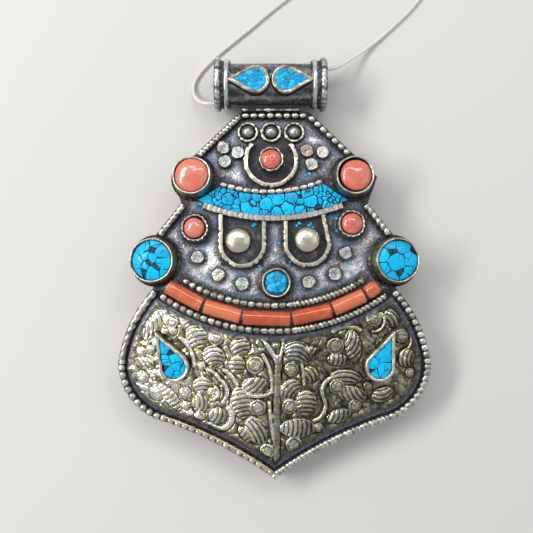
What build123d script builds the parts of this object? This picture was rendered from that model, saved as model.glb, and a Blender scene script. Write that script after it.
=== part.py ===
from build123d import *

import os
from math import asin, cos, degrees, hypot, radians, sin, sqrt, tan

# Ghau amulet box pendant, lying on its back: a domed, shield-shaped front half lifts off a shallow back tray.
# +Z points out of the decorated face and +Y towards the bail. The origin is on the table, under the middle of
# the pendant's length and width. Sizes are millimetres and degrees.

# Case outline: half widths, and heights along the pendant, from the top edge down to the tip
TOP_HALF_WIDTH = 7.5
TOP_Y = 33.3
SHOULDER_HALF_WIDTH = 21.8
SHOULDER_Y = 19.4
NECK_HALF_WIDTH = 19.7
NECK_Y = 13.9
WAIST_HALF_WIDTH = 28.0
WAIST_Y = 3.5
NOTCH_HALF_WIDTH = 25.5
NOTCH_Y = -4.1
FLARE_BULGE = 1.4
LOBE_HALF_WIDTH = 33.2
LOBE_Y = -20.1
CORNER_INSET = 8.8
CORNER_Y = -32.2
CORNER_BULGE = 2.4
TIP_Y = -44.8
TIP_HOLLOW = 1.2

# Case sheet and the dome of its face
BACK_THICKNESS = 0.8
BAND_THICKNESS = 0.9
PLATE_THICKNESS = 0.8
CROWN_HEIGHT = 9.0
DOME_RADIUS = 220.0
DOME_Y = -6.0
TRAY_CLEARANCE = 0.15
TRAY_WALL_THICKNESS = 0.6
TRAY_HEADROOM = 0.35

# Solder gap under every applied piece
SOLDER_GAP = 0.02

# Bail: a tube with a ridged collar on each end, on a saddle
BAIL_X = -0.85
BAIL_LENGTH = 23.6
BAIL_BORE_RADIUS = 3.65
BAIL_WALL = 0.8
BAIL_FLOOR_GAP = 0.15
BAIL_STANDOFF = 1.3
COLLAR_OUTER_RIDGE = 1.3
COLLAR_INNER_RIDGE = 0.9
COLLAR_GROOVE_RIDGE = 0.5
COLLAR_OUTER_WIDTH = 1.4
COLLAR_GROOVE_WIDTH = 0.4
COLLAR_INNER_WIDTH = 1.5
SADDLE_WIDTH = 12.3
SADDLE_FLOOR_GAP = 1.2
SADDLE_RISE = 0.9
SADDLE_AXIS_GAP = 1.825

# Drops inlaid on the bail
BAIL_DROP_RADIUS = 2.2
BAIL_DROP_WALL = 0.75
BAIL_DROP_HEIGHT = 1.0
BAIL_DROP_GAP = 0.4
BAIL_DROP_END_GAP = 0.1

# The ornament's own middle line, a little left of the case's
ORNAMENT_X = -0.3

# Round wires: rim, mosaic border and coral channel
RIM_WIRE_RADIUS = 0.85
MOSAIC_WIRE_RADIUS = 0.65
CHANNEL_WIRE_RADIUS = 0.8
WIRE_BUTT_GAP = 0.1

# Coral channel: an arc of beads about a centre above the pendant, between two wires
CHANNEL_RADIUS = 38.65
CHANNEL_END_Y = -3.6
CHANNEL_UPPER_LENGTH = 39.7
CHANNEL_LOWER_LENGTH = 50.2
BEAD_RADIUS = 1.55
BEAD_SIDE_GAP = 0.3
BEAD_BED = 0.6
BEAD_LENGTHS = (8.1, 7.8, 9.7, 8.1, 7.0, 3.1)
BEAD_GAP = 0.5

# Mosaic band: arcs by their ends and their lowest point
MOSAIC_UPPER_LEFT = (-11.5, 17.8)
MOSAIC_UPPER_LOW = (-0.8, 16.1)
MOSAIC_UPPER_RIGHT = (10.1, 18.4)
MOSAIC_LOWER_LEFT = (-15.0, 13.3)
MOSAIC_LOWER_LOW = (-0.8, 10.5)
MOSAIC_LOWER_RIGHT = (14.3, 13.3)
MOSAIC_TIP_REACH = 1.0
MOSAIC_HEIGHT = 0.9
MOSAIC_WIRE_CLEARANCE = 0.1
MOSAIC_SLANT = 1.05

# Embossed panel inside the lower rim, and its foliage: height over the sheet, margin and room round drops
PANEL_THICKNESS = 0.5
PANEL_CLEARANCE = 0.3
FOLIAGE_HEIGHT = 0.7
FOLIAGE_MARGIN = 0.8
FOLIAGE_DROP_GAP = 0.4
FOLIAGE_LEAST_AREA = 1.0

# Leaves of the foliage: centre, length, width and turn from +X
LEAVES = (
    ((-25.4, -11.8), 7.0, 3.0, 57),
    ((-16.3, -14.2), 4.9, 4.2, 120),
    ((-12.7, -18.3), 4.5, 4.0, -30),
    ((-7.2, -16.3), 4.2, 3.8, 60),
    ((-7.9, -20.1), 3.6, 3.2, 90),
    ((-4.1, -24.5), 5.2, 3.4, 5),
    ((-7.1, -28.2), 6.4, 4.0, 100),
    ((-3.8, -34.2), 6.0, 4.0, 120),
    ((-12.0, -30.9), 3.6, 3.2, 0),
    ((-15.7, -28.4), 3.8, 3.1, 100),
    ((-15.2, -24.5), 3.8, 3.4, 0),
    ((-27.3, -19.9), 4.0, 2.3, -20),
    ((-21.9, -27.2), 6.4, 2.4, -52),
    ((4.9, -17.4), 5.8, 4.2, -20),
    ((7.4, -22.2), 3.5, 3.1, -60),
    ((3.2, -25.3), 4.6, 3.7, 45),
    ((6.7, -28.2), 5.2, 4.2, 95),
    ((4.9, -33.6), 7.2, 3.9, 0),
    ((15.0, -22.7), 6.2, 3.0, -5),
    ((16.3, -26.4), 6.0, 3.2, -15),
    ((13.5, -31.0), 5.0, 2.7, 15),
    ((22.8, -26.6), 4.6, 3.0, 20),
    ((16.4, -16.2), 6.6, 3.2, 100),
    ((13.3, -19.1), 4.4, 2.4, -10),
    ((24.6, -10.4), 3.9, 2.8, 120),
    ((27.8, -18.8), 3.8, 3.4, 75),
)

# Buds between the leaves: centre and radius
BUDS = (
    ((-21.7, -10.9), 1.7),
    ((-12.3, -14.4), 1.7),
    ((-4.1, -20.1), 1.95),
    ((-3.5, -29.1), 1.8),
    ((-1.6, -38.6), 1.7),
    ((-24.8, -26.3), 1.6),
    ((-28.0, -22.9), 1.4),
    ((3.5, -21.0), 1.6),
    ((3.1, -28.9), 1.7),
    ((4.1, -37.2), 1.9),
    ((13.0, -24.7), 1.7),
    ((12.7, -16.2), 1.9),
    ((20.8, -10.5), 1.7),
    ((26.7, -14.1), 1.6),
)

# Stems: half width, and three points along each
STEMS = (
    (0.8, ((0.8, -18.5), (0.4, -30.0), (0.5, -41.0))),
    (0.6, ((-2.2, -14.8), (-0.9, -17.0), (0.4, -19.4))),
    (0.6, ((-19.5, -9.2), (-16.6, -9.9), (-13.4, -11.2))),
    (0.6, ((-19.7, -14.6), (-17.6, -17.3), (-17.0, -20.2))),
    (0.8, ((-13.6, -33.0), (-9.2, -32.1), (-9.6, -29.4))),
    (0.5, ((-10.9, -23.6), (-10.0, -25.7), (-10.9, -28.0))),
    (0.55, ((12.7, -22.6), (10.2, -24.4), (10.3, -27.2))),
    (0.55, ((10.3, -27.2), (10.4, -30.0), (8.4, -31.9))),
    (0.6, ((12.4, -13.1), (15.0, -12.0), (17.9, -12.8))),
)

# Stones in round bezels: seat, bezel radius, wall, height and foot flare
LARGE_BEZEL_WALL = 0.6
SMALL_BEZEL_WALL = 0.55
STONE_CLEARANCE = 0.04
STONE_CROWN = 0.7
STONE_SINK = 0.3
BEZEL_FLARE = 0.4
BEZEL_FLARE_SHARE = 0.5
BEZEL_FLOOR = 0.5
BEZEL_CLEARANCE = 0.15
CORAL_BEZEL_RADIUS = 4.2
CORAL_BEZEL_HEIGHT = 3.7
CORAL_INSET = 5.1
CORAL_DROP = 0.4
TURQUOISE_BEZEL_RADIUS = 4.75
TURQUOISE_BEZEL_HEIGHT = 4.0
TURQUOISE_INSET = 3.0
TURQUOISE_DROP = 1.9
SMALL_BEZEL_FLARE = 0.2
SMALL_CORAL_RADIUS = 2.95
SMALL_CORAL_HEIGHT = 2.2
SMALL_CORAL_LEFT = (-16.5, 8.3)
SMALL_CORAL_RIGHT = (15.9, 9.2)
CENTRE_CORAL_RADIUS = 2.7
CENTRE_CORAL_HEIGHT = 2.2
CENTRE_TURQUOISE_RADIUS = 3.15
CENTRE_TURQUOISE_HEIGHT = 1.8
CENTRE_TURQUOISE_SHIFT = 0.6
CENTRE_TURQUOISE_GAP = 0.55

# Drops on the embossed panel: round end, radius, tip distance and the turn of the tip from +Y
DROP_RADIUS = 2.5
DROP_TIP = 6.5
DROP_WALL = 0.7
DROP_HEIGHT = 2.2
DROP_LEFT_INSET = 12.4
DROP_RIGHT_INSET = 11.5
DROP_BELOW_LOBE = 0.2
DROP_LEFT_TURN = 28.0
DROP_RIGHT_TURN = -22.0

# Strip work: the horseshoe round the centre coral and two U shapes, standing on edge
STRIP_WIDTH = 0.85
STRIP_HEIGHT = 1.3
HORSESHOE_CENTRE = (-0.75, 22.6)
HORSESHOE_RADIUS = 5.25
HORSESHOE_MOUTH_ANGLE = 47.0
U_RADIUS = 4.45
U_LEFT = (-6.7, 5.0)
U_RIGHT = (6.75, 5.2)
U_WIRE_CLEARANCE = 0.3
U_RIGHT_SPLAY = 1.2

# Granules: balls in rings at the top, domes in the U shapes and flattened shot
RING_RADIUS = 1.95
RING_WIRE_RADIUS = 0.35
RING_SPACING = 4.9
RING_DROP = 4.5
BALL_RADIUS = 1.3
BALL_HEIGHT = 1.7
DOME_GRANULE_RADIUS = 2.6
DOME_GRANULE_HEIGHT = 2.1
DOME_GRANULE_SIDE = 0.6
DOME_GRANULE_RISE = 0.8
DOME_GRANULE_LEFT_SHIFT = -0.9
SHOT_RADIUS = 1.3
SHOT_HEIGHT = 0.9
SHOT_EDGE = 0.25
UPPER_SHOT = ((-10.8, 25.4), (-7.8, 24.4), (-10.4, 22.5), (6.8, 24.8), (10.1, 24.4), (7.8, 21.9))
LOWER_SHOT = ((-16.1, 2.3), (-11.7, -1.4), (-6.8, -3.2), (14.8, 3.2), (12.6, -1.2), (7.1, -2.8))

# Nylon thread: diameter, and the points of its two strands from the bail's ends to the knot
THREAD_DIAMETER = 0.8
THREAD_LEFT = (
    (-12.65, 35.5, 3.9),
    (-14.5, 35.5, 3.9),
    (-16.2, 36.1, 2.7),
    (-17.6, 37.7, 1.3),
    (-17.9, 39.9, 0.5),
    (-17.0, 42.0, 0.4),
    (-15.2, 44.2, 0.4),
    (-12.4, 46.9, 0.4),
    (-8.6, 50.0, 0.4),
    (-4.4, 53.4, 0.4),
    (-0.2, 57.0, 0.4),
    (4.3, 60.4, 0.4),
    (9.6, 63.4, 0.4),
    (14.9, 65.7, 0.4),
    (19.6, 67.0, 0.6),
    (22.8, 67.4, 1.0),
    (25.0, 67.4, 1.0),
)
THREAD_RIGHT = (
    (10.95, 42.77, 4.3),
    (12.7, 42.77, 4.3),
    (15.0, 44.2, 3.5),
    (17.6, 46.2, 2.0),
    (21.2, 48.9, 0.7),
    (25.2, 52.3, 0.4),
    (29.2, 56.0, 0.4),
    (32.2, 59.5, 0.4),
    (33.5, 62.8, 0.4),
    (32.6, 65.7, 0.6),
    (30.2, 67.4, 1.0),
    (28.0, 67.4, 1.0),
)
KNOT_RADIUS = 1.0
KNOT_EDGE = 0.35
FILLET_SHARE = 0.45

# Worked out from the sizes above
PLATE_INNER_RADIUS = DOME_RADIUS - PLATE_THICKNESS
DOME_CENTRE = Vector(0, DOME_Y, CROWN_HEIGHT - DOME_RADIUS)
BAIL_OUTER_RADIUS = BAIL_BORE_RADIUS + BAIL_WALL
BAIL_Y = TOP_Y + BAIL_STANDOFF + BAIL_OUTER_RADIUS
BAIL_Z = BAIL_OUTER_RADIUS + COLLAR_OUTER_RIDGE + BAIL_FLOOR_GAP
COLLAR_WIDTH = COLLAR_OUTER_WIDTH + COLLAR_GROOVE_WIDTH + COLLAR_INNER_WIDTH
BAIL_DROP_X = BAIL_DROP_RADIUS + BAIL_DROP_WALL + BAIL_DROP_GAP / 2
BAIL_DROP_TIP = BAIL_LENGTH / 2 - COLLAR_WIDTH - BAIL_DROP_END_GAP - BAIL_DROP_WALL - BAIL_DROP_X
BEAD_ROW_LENGTH = sum(BEAD_LENGTHS) + BEAD_GAP * (len(BEAD_LENGTHS) - 1)
CHANNEL_CENTRE = (ORNAMENT_X, CHANNEL_END_Y + CHANNEL_RADIUS * cos(BEAD_ROW_LENGTH / 2 / CHANNEL_RADIUS))
CHANNEL_WIRE_OFFSET = BEAD_RADIUS + BEAD_SIDE_GAP + CHANNEL_WIRE_RADIUS
CHANNEL_UPPER_RADIUS = CHANNEL_RADIUS - CHANNEL_WIRE_OFFSET
CHANNEL_LOWER_RADIUS = CHANNEL_RADIUS + CHANNEL_WIRE_OFFSET
CENTRE_TURQUOISE_FOOT = CENTRE_TURQUOISE_RADIUS + SMALL_BEZEL_FLARE
CENTRE_TURQUOISE_REACH = CHANNEL_WIRE_RADIUS + CENTRE_TURQUOISE_GAP + CENTRE_TURQUOISE_FOOT
CENTRE_TURQUOISE = (
    ORNAMENT_X + CENTRE_TURQUOISE_SHIFT,
    CHANNEL_CENTRE[1] - CHANNEL_UPPER_RADIUS + CENTRE_TURQUOISE_REACH,
)
DROP_Y = LOBE_Y - DROP_BELOW_LOBE
DROP_LEFT = (DROP_LEFT_INSET - LOBE_HALF_WIDTH, DROP_Y)
DROP_RIGHT = (LOBE_HALF_WIDTH - DROP_RIGHT_INSET, DROP_Y)
CORAL_X = SHOULDER_HALF_WIDTH - CORAL_INSET
CORAL_Y = SHOULDER_Y - CORAL_DROP
CORAL_LEFT = (ORNAMENT_X - CORAL_X, CORAL_Y)
CORAL_RIGHT = (ORNAMENT_X + CORAL_X, CORAL_Y)
TURQUOISE_X = WAIST_HALF_WIDTH - TURQUOISE_INSET
TURQUOISE_Y = WAIST_Y - TURQUOISE_DROP
TURQUOISE_LEFT = (-TURQUOISE_X, TURQUOISE_Y)
TURQUOISE_RIGHT = (TURQUOISE_X, TURQUOISE_Y)
RINGS = [(HORSESHOE_CENTRE[0] + RING_SPACING * step, TOP_Y - RING_DROP) for step in (-1, 0, 1)]
LARGE_BEZELS = (
    (CORAL_LEFT, CORAL_BEZEL_RADIUS),
    (CORAL_RIGHT, CORAL_BEZEL_RADIUS),
    (TURQUOISE_LEFT, TURQUOISE_BEZEL_RADIUS),
    (TURQUOISE_RIGHT, TURQUOISE_BEZEL_RADIUS),
)
TALL = 2 * CROWN_HEIGHT


# The dome of the face

def on_dome(x, y, height=0.0):
    """The point over (x, y) that stands height off the face's outer surface."""
    radius = DOME_RADIUS + height
    return Vector(x, y, DOME_CENTRE.Z + sqrt(radius**2 - x**2 - (y - DOME_Y) ** 2))


def seat(x, y, turn=0.0, height=0.0):
    """A plane that touches the face over (x, y), with its own Y turned from the pendant's Y."""
    point = on_dome(x, y, height)
    outward = point - DOME_CENTRE
    across = Vector(outward.Z, 0, -outward.X).rotate(Axis((0, 0, 0), outward), turn)
    return Plane(origin=point, x_dir=across, z_dir=outward).offset(SOLDER_GAP)


def ball(radius):
    """A ball about the dome's centre, with its poles out of the way at the sides."""
    return Pos(DOME_CENTRE) * Rot(90, 0, 0) * Sphere(radius)


def sheet_on_dome(face, low, high):
    """The upright prism on a flat outline, between two heights off the face's outer surface."""
    prism = extrude(face, TALL)
    return (prism & ball(DOME_RADIUS + high)) - ball(DOME_RADIUS + low)


# Flat outlines

def face_of(border):
    """The flat face inside a closed run of lines and arcs."""
    return make_face([edge for piece in border for edge in piece.edges()])


def bulged(start, end, bulge):
    """An arc between two points that leaves their chord by bulge, to the left of the way along it."""
    a, b = Vector(*start), Vector(*end)
    chord = b - a
    left = Vector(-chord.Y, chord.X).normalized()
    return ThreePointArc(a, (a + b) / 2 + left * bulge, b)


def case_outline():
    """The pendant's outline as one flat face."""
    top = (TOP_HALF_WIDTH, TOP_Y)
    shoulder = (SHOULDER_HALF_WIDTH, SHOULDER_Y)
    neck = (NECK_HALF_WIDTH, NECK_Y)
    waist = (WAIST_HALF_WIDTH, WAIST_Y)
    notch = (NOTCH_HALF_WIDTH, NOTCH_Y)
    lobe = (LOBE_HALF_WIDTH, LOBE_Y)
    corner = (LOBE_HALF_WIDTH - CORNER_INSET, CORNER_Y)
    right = [
        Polyline((0, TOP_Y), top, shoulder, neck, waist, notch),
        bulged(notch, lobe, FLARE_BULGE),
        bulged(lobe, corner, CORNER_BULGE),
        bulged(corner, (0, TIP_Y), -TIP_HOLLOW),
    ]
    half = face_of([*right, Line((0, TIP_Y), (0, TOP_Y))])
    return half + mirror(half, about=Plane.YZ)


def inset(face, amount):
    """A flat face with its edge moved inwards."""
    return offset(face, amount=-amount, kind=Kind.INTERSECTION)


# The case

def side_band(outline):
    """The wall round the case, from the tray's plate up to the underside of the face."""
    ring = outline - inset(outline, BAND_THICKNESS)
    wall = Pos(0, 0, BACK_THICKNESS) * extrude(ring, TALL)
    return wall & ball(PLATE_INNER_RADIUS)


def tray_wall(outline):
    """The collar on the tray that plugs into the band, up to a little below the lowest edge of the face."""
    outside = BAND_THICKNESS + TRAY_CLEARANCE
    ring = inset(outline, outside) - inset(outline, outside + TRAY_WALL_THICKNESS)
    furthest = max(hypot(vertex.X, vertex.Y - DOME_Y) for vertex in outline.vertices())
    face_edge = DOME_CENTRE.Z + sqrt(PLATE_INNER_RADIUS**2 - furthest**2)
    return Pos(0, 0, BACK_THICKNESS) * extrude(ring, face_edge - TRAY_HEADROOM - BACK_THICKNESS)


# Wires

def arc_on_dome(points, height):
    """The arc on the dome through three flat points, at a height off the face."""
    return ThreePointArc(*[on_dome(x, y, height) for x, y in points])


def round_wire(arc, radius):
    """A round wire along an arc."""
    return sweep(Plane(origin=arc @ 0, z_dir=arc % 0) * Circle(radius), path=arc)


def corner_trim(before, after, radius):
    """How much a butted wire end gives up so that it clears the next length at a corner."""
    turn = (before % 1).get_angle(after % 0)
    return radius * tan(radians(turn / 2)) + WIRE_BUTT_GAP / 2


def steps_in(edge):
    """Whether an edge of the outline steps back in under a tier, where no wire runs."""
    low, high = sorted((edge @ 0, edge @ 1), key=lambda point: point.Y)
    return low.Y > LOBE_Y and abs(low.X) < abs(high.X) - WIRE_BUTT_GAP


def clear_of_bezels(wire):
    """The longest stretch of a wire that is left outside the four large bezels."""
    for place, radius in LARGE_BEZELS:
        wire = wire - seat(*place) * Cylinder(radius + BEZEL_FLARE + BEZEL_CLEARANCE, TALL)
    return wire.solids().sort_by(SortBy.VOLUME)[-1]


def rim_wires(outline, low, high):
    """Lengths of round wire butted end to end along the outline between two heights, inside its edge."""
    path = inset(outline, RIM_WIRE_RADIUS).faces()[0].outer_wire().order_edges()
    lengths = []
    for before, edge, after in zip([path[-1], *path[:-1]], path, [*path[1:], path[0]]):
        if steps_in(edge) or not low < (edge @ 0.5).Y < high:
            continue
        start = corner_trim(before, edge, RIM_WIRE_RADIUS) / edge.length
        end = 1 - corner_trim(edge, after, RIM_WIRE_RADIUS) / edge.length
        points = [tuple(edge @ t)[:2] for t in (start, (start + end) / 2, end)]
        wire = round_wire(arc_on_dome(points, RIM_WIRE_RADIUS + SOLDER_GAP), RIM_WIRE_RADIUS)
        lengths.append(clear_of_bezels(wire))
    return lengths


def channel_point(radius, angle):
    """A flat point on the channel's circles, by its angle from straight down."""
    return (
        CHANNEL_CENTRE[0] + radius * sin(radians(angle)),
        CHANNEL_CENTRE[1] - radius * cos(radians(angle)),
    )


def channel_wire(radius, length):
    """One of the two wires that hold the coral beads."""
    half_angle = degrees(length / 2 / radius)
    points = [channel_point(radius, angle) for angle in (-half_angle, 0, half_angle)]
    return round_wire(arc_on_dome(points, CHANNEL_WIRE_RADIUS + SOLDER_GAP), CHANNEL_WIRE_RADIUS)


def mosaic_wire(points):
    """One of the two wires that border the mosaic."""
    arc = arc_on_dome(points, MOSAIC_WIRE_RADIUS + SOLDER_GAP)
    return clear_of_bezels(round_wire(arc, MOSAIC_WIRE_RADIUS))


def moved_arc(points, amount):
    """The flat arc through three points, moved straight up by an amount."""
    return ThreePointArc(*[(x, y + amount) for x, y in points])


def mosaic_bed():
    """The bed of turquoise chips between its two wires, drawn out to a tip at each end."""
    room = MOSAIC_SLANT * (MOSAIC_WIRE_RADIUS + MOSAIC_WIRE_CLEARANCE)
    upper = moved_arc((MOSAIC_UPPER_LEFT, MOSAIC_UPPER_LOW, MOSAIC_UPPER_RIGHT), -room)
    lower = moved_arc((MOSAIC_LOWER_LEFT, MOSAIC_LOWER_LOW, MOSAIC_LOWER_RIGHT), room)
    left_tip = (lower @ 0) + Vector(-MOSAIC_TIP_REACH, MOSAIC_TIP_REACH / 2)
    right_tip = (lower @ 1) + Vector(MOSAIC_TIP_REACH, MOSAIC_TIP_REACH / 2)
    border = [
        upper,
        Line(upper @ 1, right_tip),
        Line(right_tip, lower @ 1),
        lower,
        Line(lower @ 0, left_tip),
        Line(left_tip, upper @ 0),
    ]
    face = face_of(border)
    for place, radius in LARGE_BEZELS:
        face = face - Pos(*place) * Circle(radius + BEZEL_FLARE + BEZEL_CLEARANCE)
    return sheet_on_dome(face, SOLDER_GAP, MOSAIC_HEIGHT)


def panel_face(outline, margin=0.0):
    """The embossed panel's outline: inside the lower rim wire and below the channel's lower wire."""
    inside = inset(outline, 2 * RIM_WIRE_RADIUS + PANEL_CLEARANCE + margin)
    channel = CHANNEL_LOWER_RADIUS + CHANNEL_WIRE_RADIUS + PANEL_CLEARANCE + margin
    return inside - Pos(*CHANNEL_CENTRE) * Circle(channel)


def foliage_faces(outline):
    """The flat outlines of the leaves, buds and stems, clear of the panel's edge and of the drops."""
    leaves = [
        Pos(*place) * Rot(0, 0, turn) * Ellipse(length / 2, width / 2)
        for place, length, width, turn in LEAVES
    ]
    buds = [Pos(*place) * Circle(radius) for place, radius in BUDS]
    stems = [trace(ThreePointArc(*points), 2 * half_width) for half_width, points in STEMS]
    foliage = (Sketch() + leaves + buds + stems) & panel_face(outline, FOLIAGE_MARGIN)
    collar = offset(drop_face(DROP_RADIUS, DROP_TIP), amount=DROP_WALL + FOLIAGE_DROP_GAP)
    for place, turn in ((DROP_LEFT, DROP_LEFT_TURN), (DROP_RIGHT, DROP_RIGHT_TURN)):
        foliage = foliage - Pos(*place) * Rot(0, 0, turn) * collar
    return [face for face in foliage.faces() if face.area > FOLIAGE_LEAST_AREA]


def embossed_panel(outline):
    """The brass sheet with its foliage raised from behind."""
    panel = sheet_on_dome(panel_face(outline), SOLDER_GAP, PANEL_THICKNESS)
    for face in foliage_faces(outline):
        panel = panel + sheet_on_dome(face, PANEL_THICKNESS / 2, PANEL_THICKNESS + FOLIAGE_HEIGHT)
    return panel


# Coral beads

def coral_beads():
    """The beads in the channel, left to right, each flat underneath where it is bedded."""
    section = Pos(0, BEAD_RADIUS - BEAD_BED) * Circle(BEAD_RADIUS)
    section = section & Pos(0, 2 * BEAD_RADIUS) * Rectangle(4 * BEAD_RADIUS, 4 * BEAD_RADIUS)
    beads = []
    angle = -degrees(BEAD_ROW_LENGTH / 2 / CHANNEL_RADIUS)
    for length in BEAD_LENGTHS:
        half_turn = degrees(length / 2 / CHANNEL_RADIUS)
        angle += half_turn
        plane = seat(*channel_point(CHANNEL_RADIUS, angle), turn=angle)
        across = Plane(origin=plane.origin - plane.x_dir * (length / 2), x_dir=plane.y_dir, z_dir=plane.x_dir)
        beads.append(extrude(across * section, length))
        angle += half_turn + degrees(BEAD_GAP / CHANNEL_RADIUS)
    return beads


# Stones and bezels

def turned(border, plane):
    """A solid of revolution from half a section, about the plane's own Z."""
    return plane * revolve(Plane.XZ * face_of(border), Axis.Z)


def round_bezel(place, radius, wall, height, flare):
    """A cup on the face round a stone, a little wider at its foot."""
    inner = radius - wall
    section = Polyline(
        (0, 0),
        (radius + flare, 0),
        (radius, height * BEZEL_FLARE_SHARE),
        (radius, height),
        (inner, height),
        (inner, BEZEL_FLOOR),
        (0, BEZEL_FLOOR),
        close=True,
    )
    return turned([section], seat(*place))


def cabochon(plane, radius, side, top):
    """A round stone or dome with straight sides and a spherical top."""
    rise = top - side
    sphere = (radius**2 + rise**2) / (2 * rise)
    half = asin(radius / sphere) / 2
    crown = ThreePointArc((radius, side), (sphere * sin(half), top - sphere * (1 - cos(half))), (0, top))
    return turned([Polyline((0, top), (0, 0), (radius, 0), (radius, side)), crown], plane)


def set_stone(place, radius, wall, height):
    """The stone inside a round bezel, crowned a little above its edge."""
    plane = seat(*place).offset(BEZEL_FLOOR + SOLDER_GAP)
    depth = height - BEZEL_FLOOR
    return cabochon(plane, radius - wall - STONE_CLEARANCE, depth - STONE_SINK, depth + STONE_CROWN)


def drop_face(radius, tip):
    """A drop: a round end about the origin, drawn out along +Y to a tip."""
    lean = asin(radius / tip)
    side = (radius * cos(lean), radius * sin(lean))
    border = [
        Line((0, tip), side),
        ThreePointArc(side, (0, -radius), (-side[0], side[1])),
        Line((-side[0], side[1]), (0, tip)),
    ]
    return face_of(border)


def drop_pair(radius, tip, wall, height):
    """A flat collar in a drop's shape, and the stone in it, both standing on the XY plane."""
    stone = drop_face(radius, tip)
    collar = extrude(offset(stone, amount=wall) - offset(stone, amount=STONE_CLEARANCE), height)
    return collar, extrude(stone, height)


def panel_drop(place, turn):
    """A drop in its collar on the embossed panel."""
    plane = seat(*place, turn=turn, height=PANEL_THICKNESS)
    return [plane * piece for piece in drop_pair(DROP_RADIUS, DROP_TIP, DROP_WALL, DROP_HEIGHT)]


# Bail

def bail_rod(radius):
    """A rod along the bail's axis, as long as the bail."""
    return Pos(BAIL_X, BAIL_Y, BAIL_Z) * Rot(0, 90, 0) * Cylinder(radius, BAIL_LENGTH)


def bail_tube():
    """The open tube that the cord runs through."""
    return bail_rod(BAIL_OUTER_RADIUS) - bail_rod(BAIL_BORE_RADIUS)


def bail_collar(side):
    """The ridged collar on one end of the tube."""
    inner = BAIL_OUTER_RADIUS + SOLDER_GAP
    outer_ridge = BAIL_OUTER_RADIUS + COLLAR_OUTER_RIDGE
    groove = BAIL_OUTER_RADIUS + COLLAR_GROOVE_RIDGE
    inner_ridge = BAIL_OUTER_RADIUS + COLLAR_INNER_RIDGE
    groove_end = COLLAR_OUTER_WIDTH + COLLAR_GROOVE_WIDTH
    profile = Polyline(
        (inner, 0),
        (outer_ridge, 0),
        (outer_ridge, COLLAR_OUTER_WIDTH),
        (groove, COLLAR_OUTER_WIDTH),
        (groove, groove_end),
        (inner_ridge, groove_end),
        (inner_ridge, COLLAR_WIDTH),
        (inner, COLLAR_WIDTH),
        close=True,
    )
    end = Vector(BAIL_X + side * BAIL_LENGTH / 2, BAIL_Y, BAIL_Z)
    return turned([profile], Plane(origin=end, x_dir=(0, 1, 0), z_dir=(-side, 0, 0)))


def bail_saddle():
    """The block between the tube and the top of the band."""
    height = BAIL_Z + SADDLE_RISE - SADDLE_FLOOR_GAP
    depth = BAIL_Y - SADDLE_AXIS_GAP - TOP_Y
    block = Box(SADDLE_WIDTH, depth, height, align=(Align.CENTER, Align.MIN, Align.MIN))
    return Pos(BAIL_X, TOP_Y, SADDLE_FLOOR_GAP) * block - bail_rod(BAIL_OUTER_RADIUS + SOLDER_GAP)


def bail_drop(side):
    """A drop in its collar on the tube, with its tip towards the nearer end."""
    middle = Vector(BAIL_X + side * BAIL_DROP_X, BAIL_Y, BAIL_Z)
    plane = Plane(origin=middle, x_dir=(0, -side, 0), z_dir=(0, 0, 1))
    height = BAIL_OUTER_RADIUS + BAIL_DROP_HEIGHT
    pieces = drop_pair(BAIL_DROP_RADIUS, BAIL_DROP_TIP, BAIL_DROP_WALL, height)
    return [plane * piece - bail_rod(BAIL_OUTER_RADIUS + SOLDER_GAP) for piece in pieces]


# Strip work and granules

def strip(lines, plane):
    """A strip on edge along flat lines, standing on a plane."""
    return plane * extrude(trace(lines, STRIP_WIDTH), STRIP_HEIGHT)


def horseshoe():
    """The open loop round the centre coral."""
    mouth = radians(HORSESHOE_MOUTH_ANGLE)
    side = (HORSESHOE_RADIUS * sin(mouth), HORSESHOE_RADIUS * cos(mouth))
    arc = ThreePointArc((-side[0], side[1]), (0, -HORSESHOE_RADIUS), side)
    return strip(arc, seat(*HORSESHOE_CENTRE))


def leg_length(place, x):
    """How far a leg of a U reaches above its centre before it meets the mosaic's lower wire."""
    arc = ThreePointArc(MOSAIC_LOWER_LEFT, MOSAIC_LOWER_LOW, MOSAIC_LOWER_RIGHT)
    wire = arc.arc_center.Y - sqrt(arc.radius**2 - (place[0] + x - arc.arc_center.X) ** 2)
    return wire - MOSAIC_WIRE_RADIUS - U_WIRE_CLEARANCE - place[1]


def u_strip(place, splay):
    """A U whose legs run up to the mosaic's lower wire, the right leg leaning in by splay."""
    right = U_RADIUS - splay
    lines = [
        Line((-U_RADIUS, leg_length(place, -U_RADIUS)), (-U_RADIUS, 0)),
        ThreePointArc((-U_RADIUS, 0), (0, -U_RADIUS), (U_RADIUS, 0)),
        Line((U_RADIUS, 0), (right, leg_length(place, right))),
    ]
    return strip(lines, seat(*place))


def brass_dome(place, shift):
    """The polished granule inside a U, moved sideways from the U's middle."""
    plane = seat(place[0] + shift, place[1] + DOME_GRANULE_RISE)
    return cabochon(plane, DOME_GRANULE_RADIUS, DOME_GRANULE_SIDE, DOME_GRANULE_HEIGHT)


def shot(place):
    """One flattened granule."""
    disc = Cylinder(SHOT_RADIUS, SHOT_HEIGHT, align=(Align.CENTER, Align.CENTER, Align.MIN))
    return seat(*place) * fillet(disc.edges().sort_by(Axis.Z)[-1], SHOT_EDGE)


def ring(place):
    """One plain wire ring, lying on the face."""
    return seat(*place) * Pos(0, 0, RING_WIRE_RADIUS) * Torus(RING_RADIUS, RING_WIRE_RADIUS)


# Nylon thread

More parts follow.
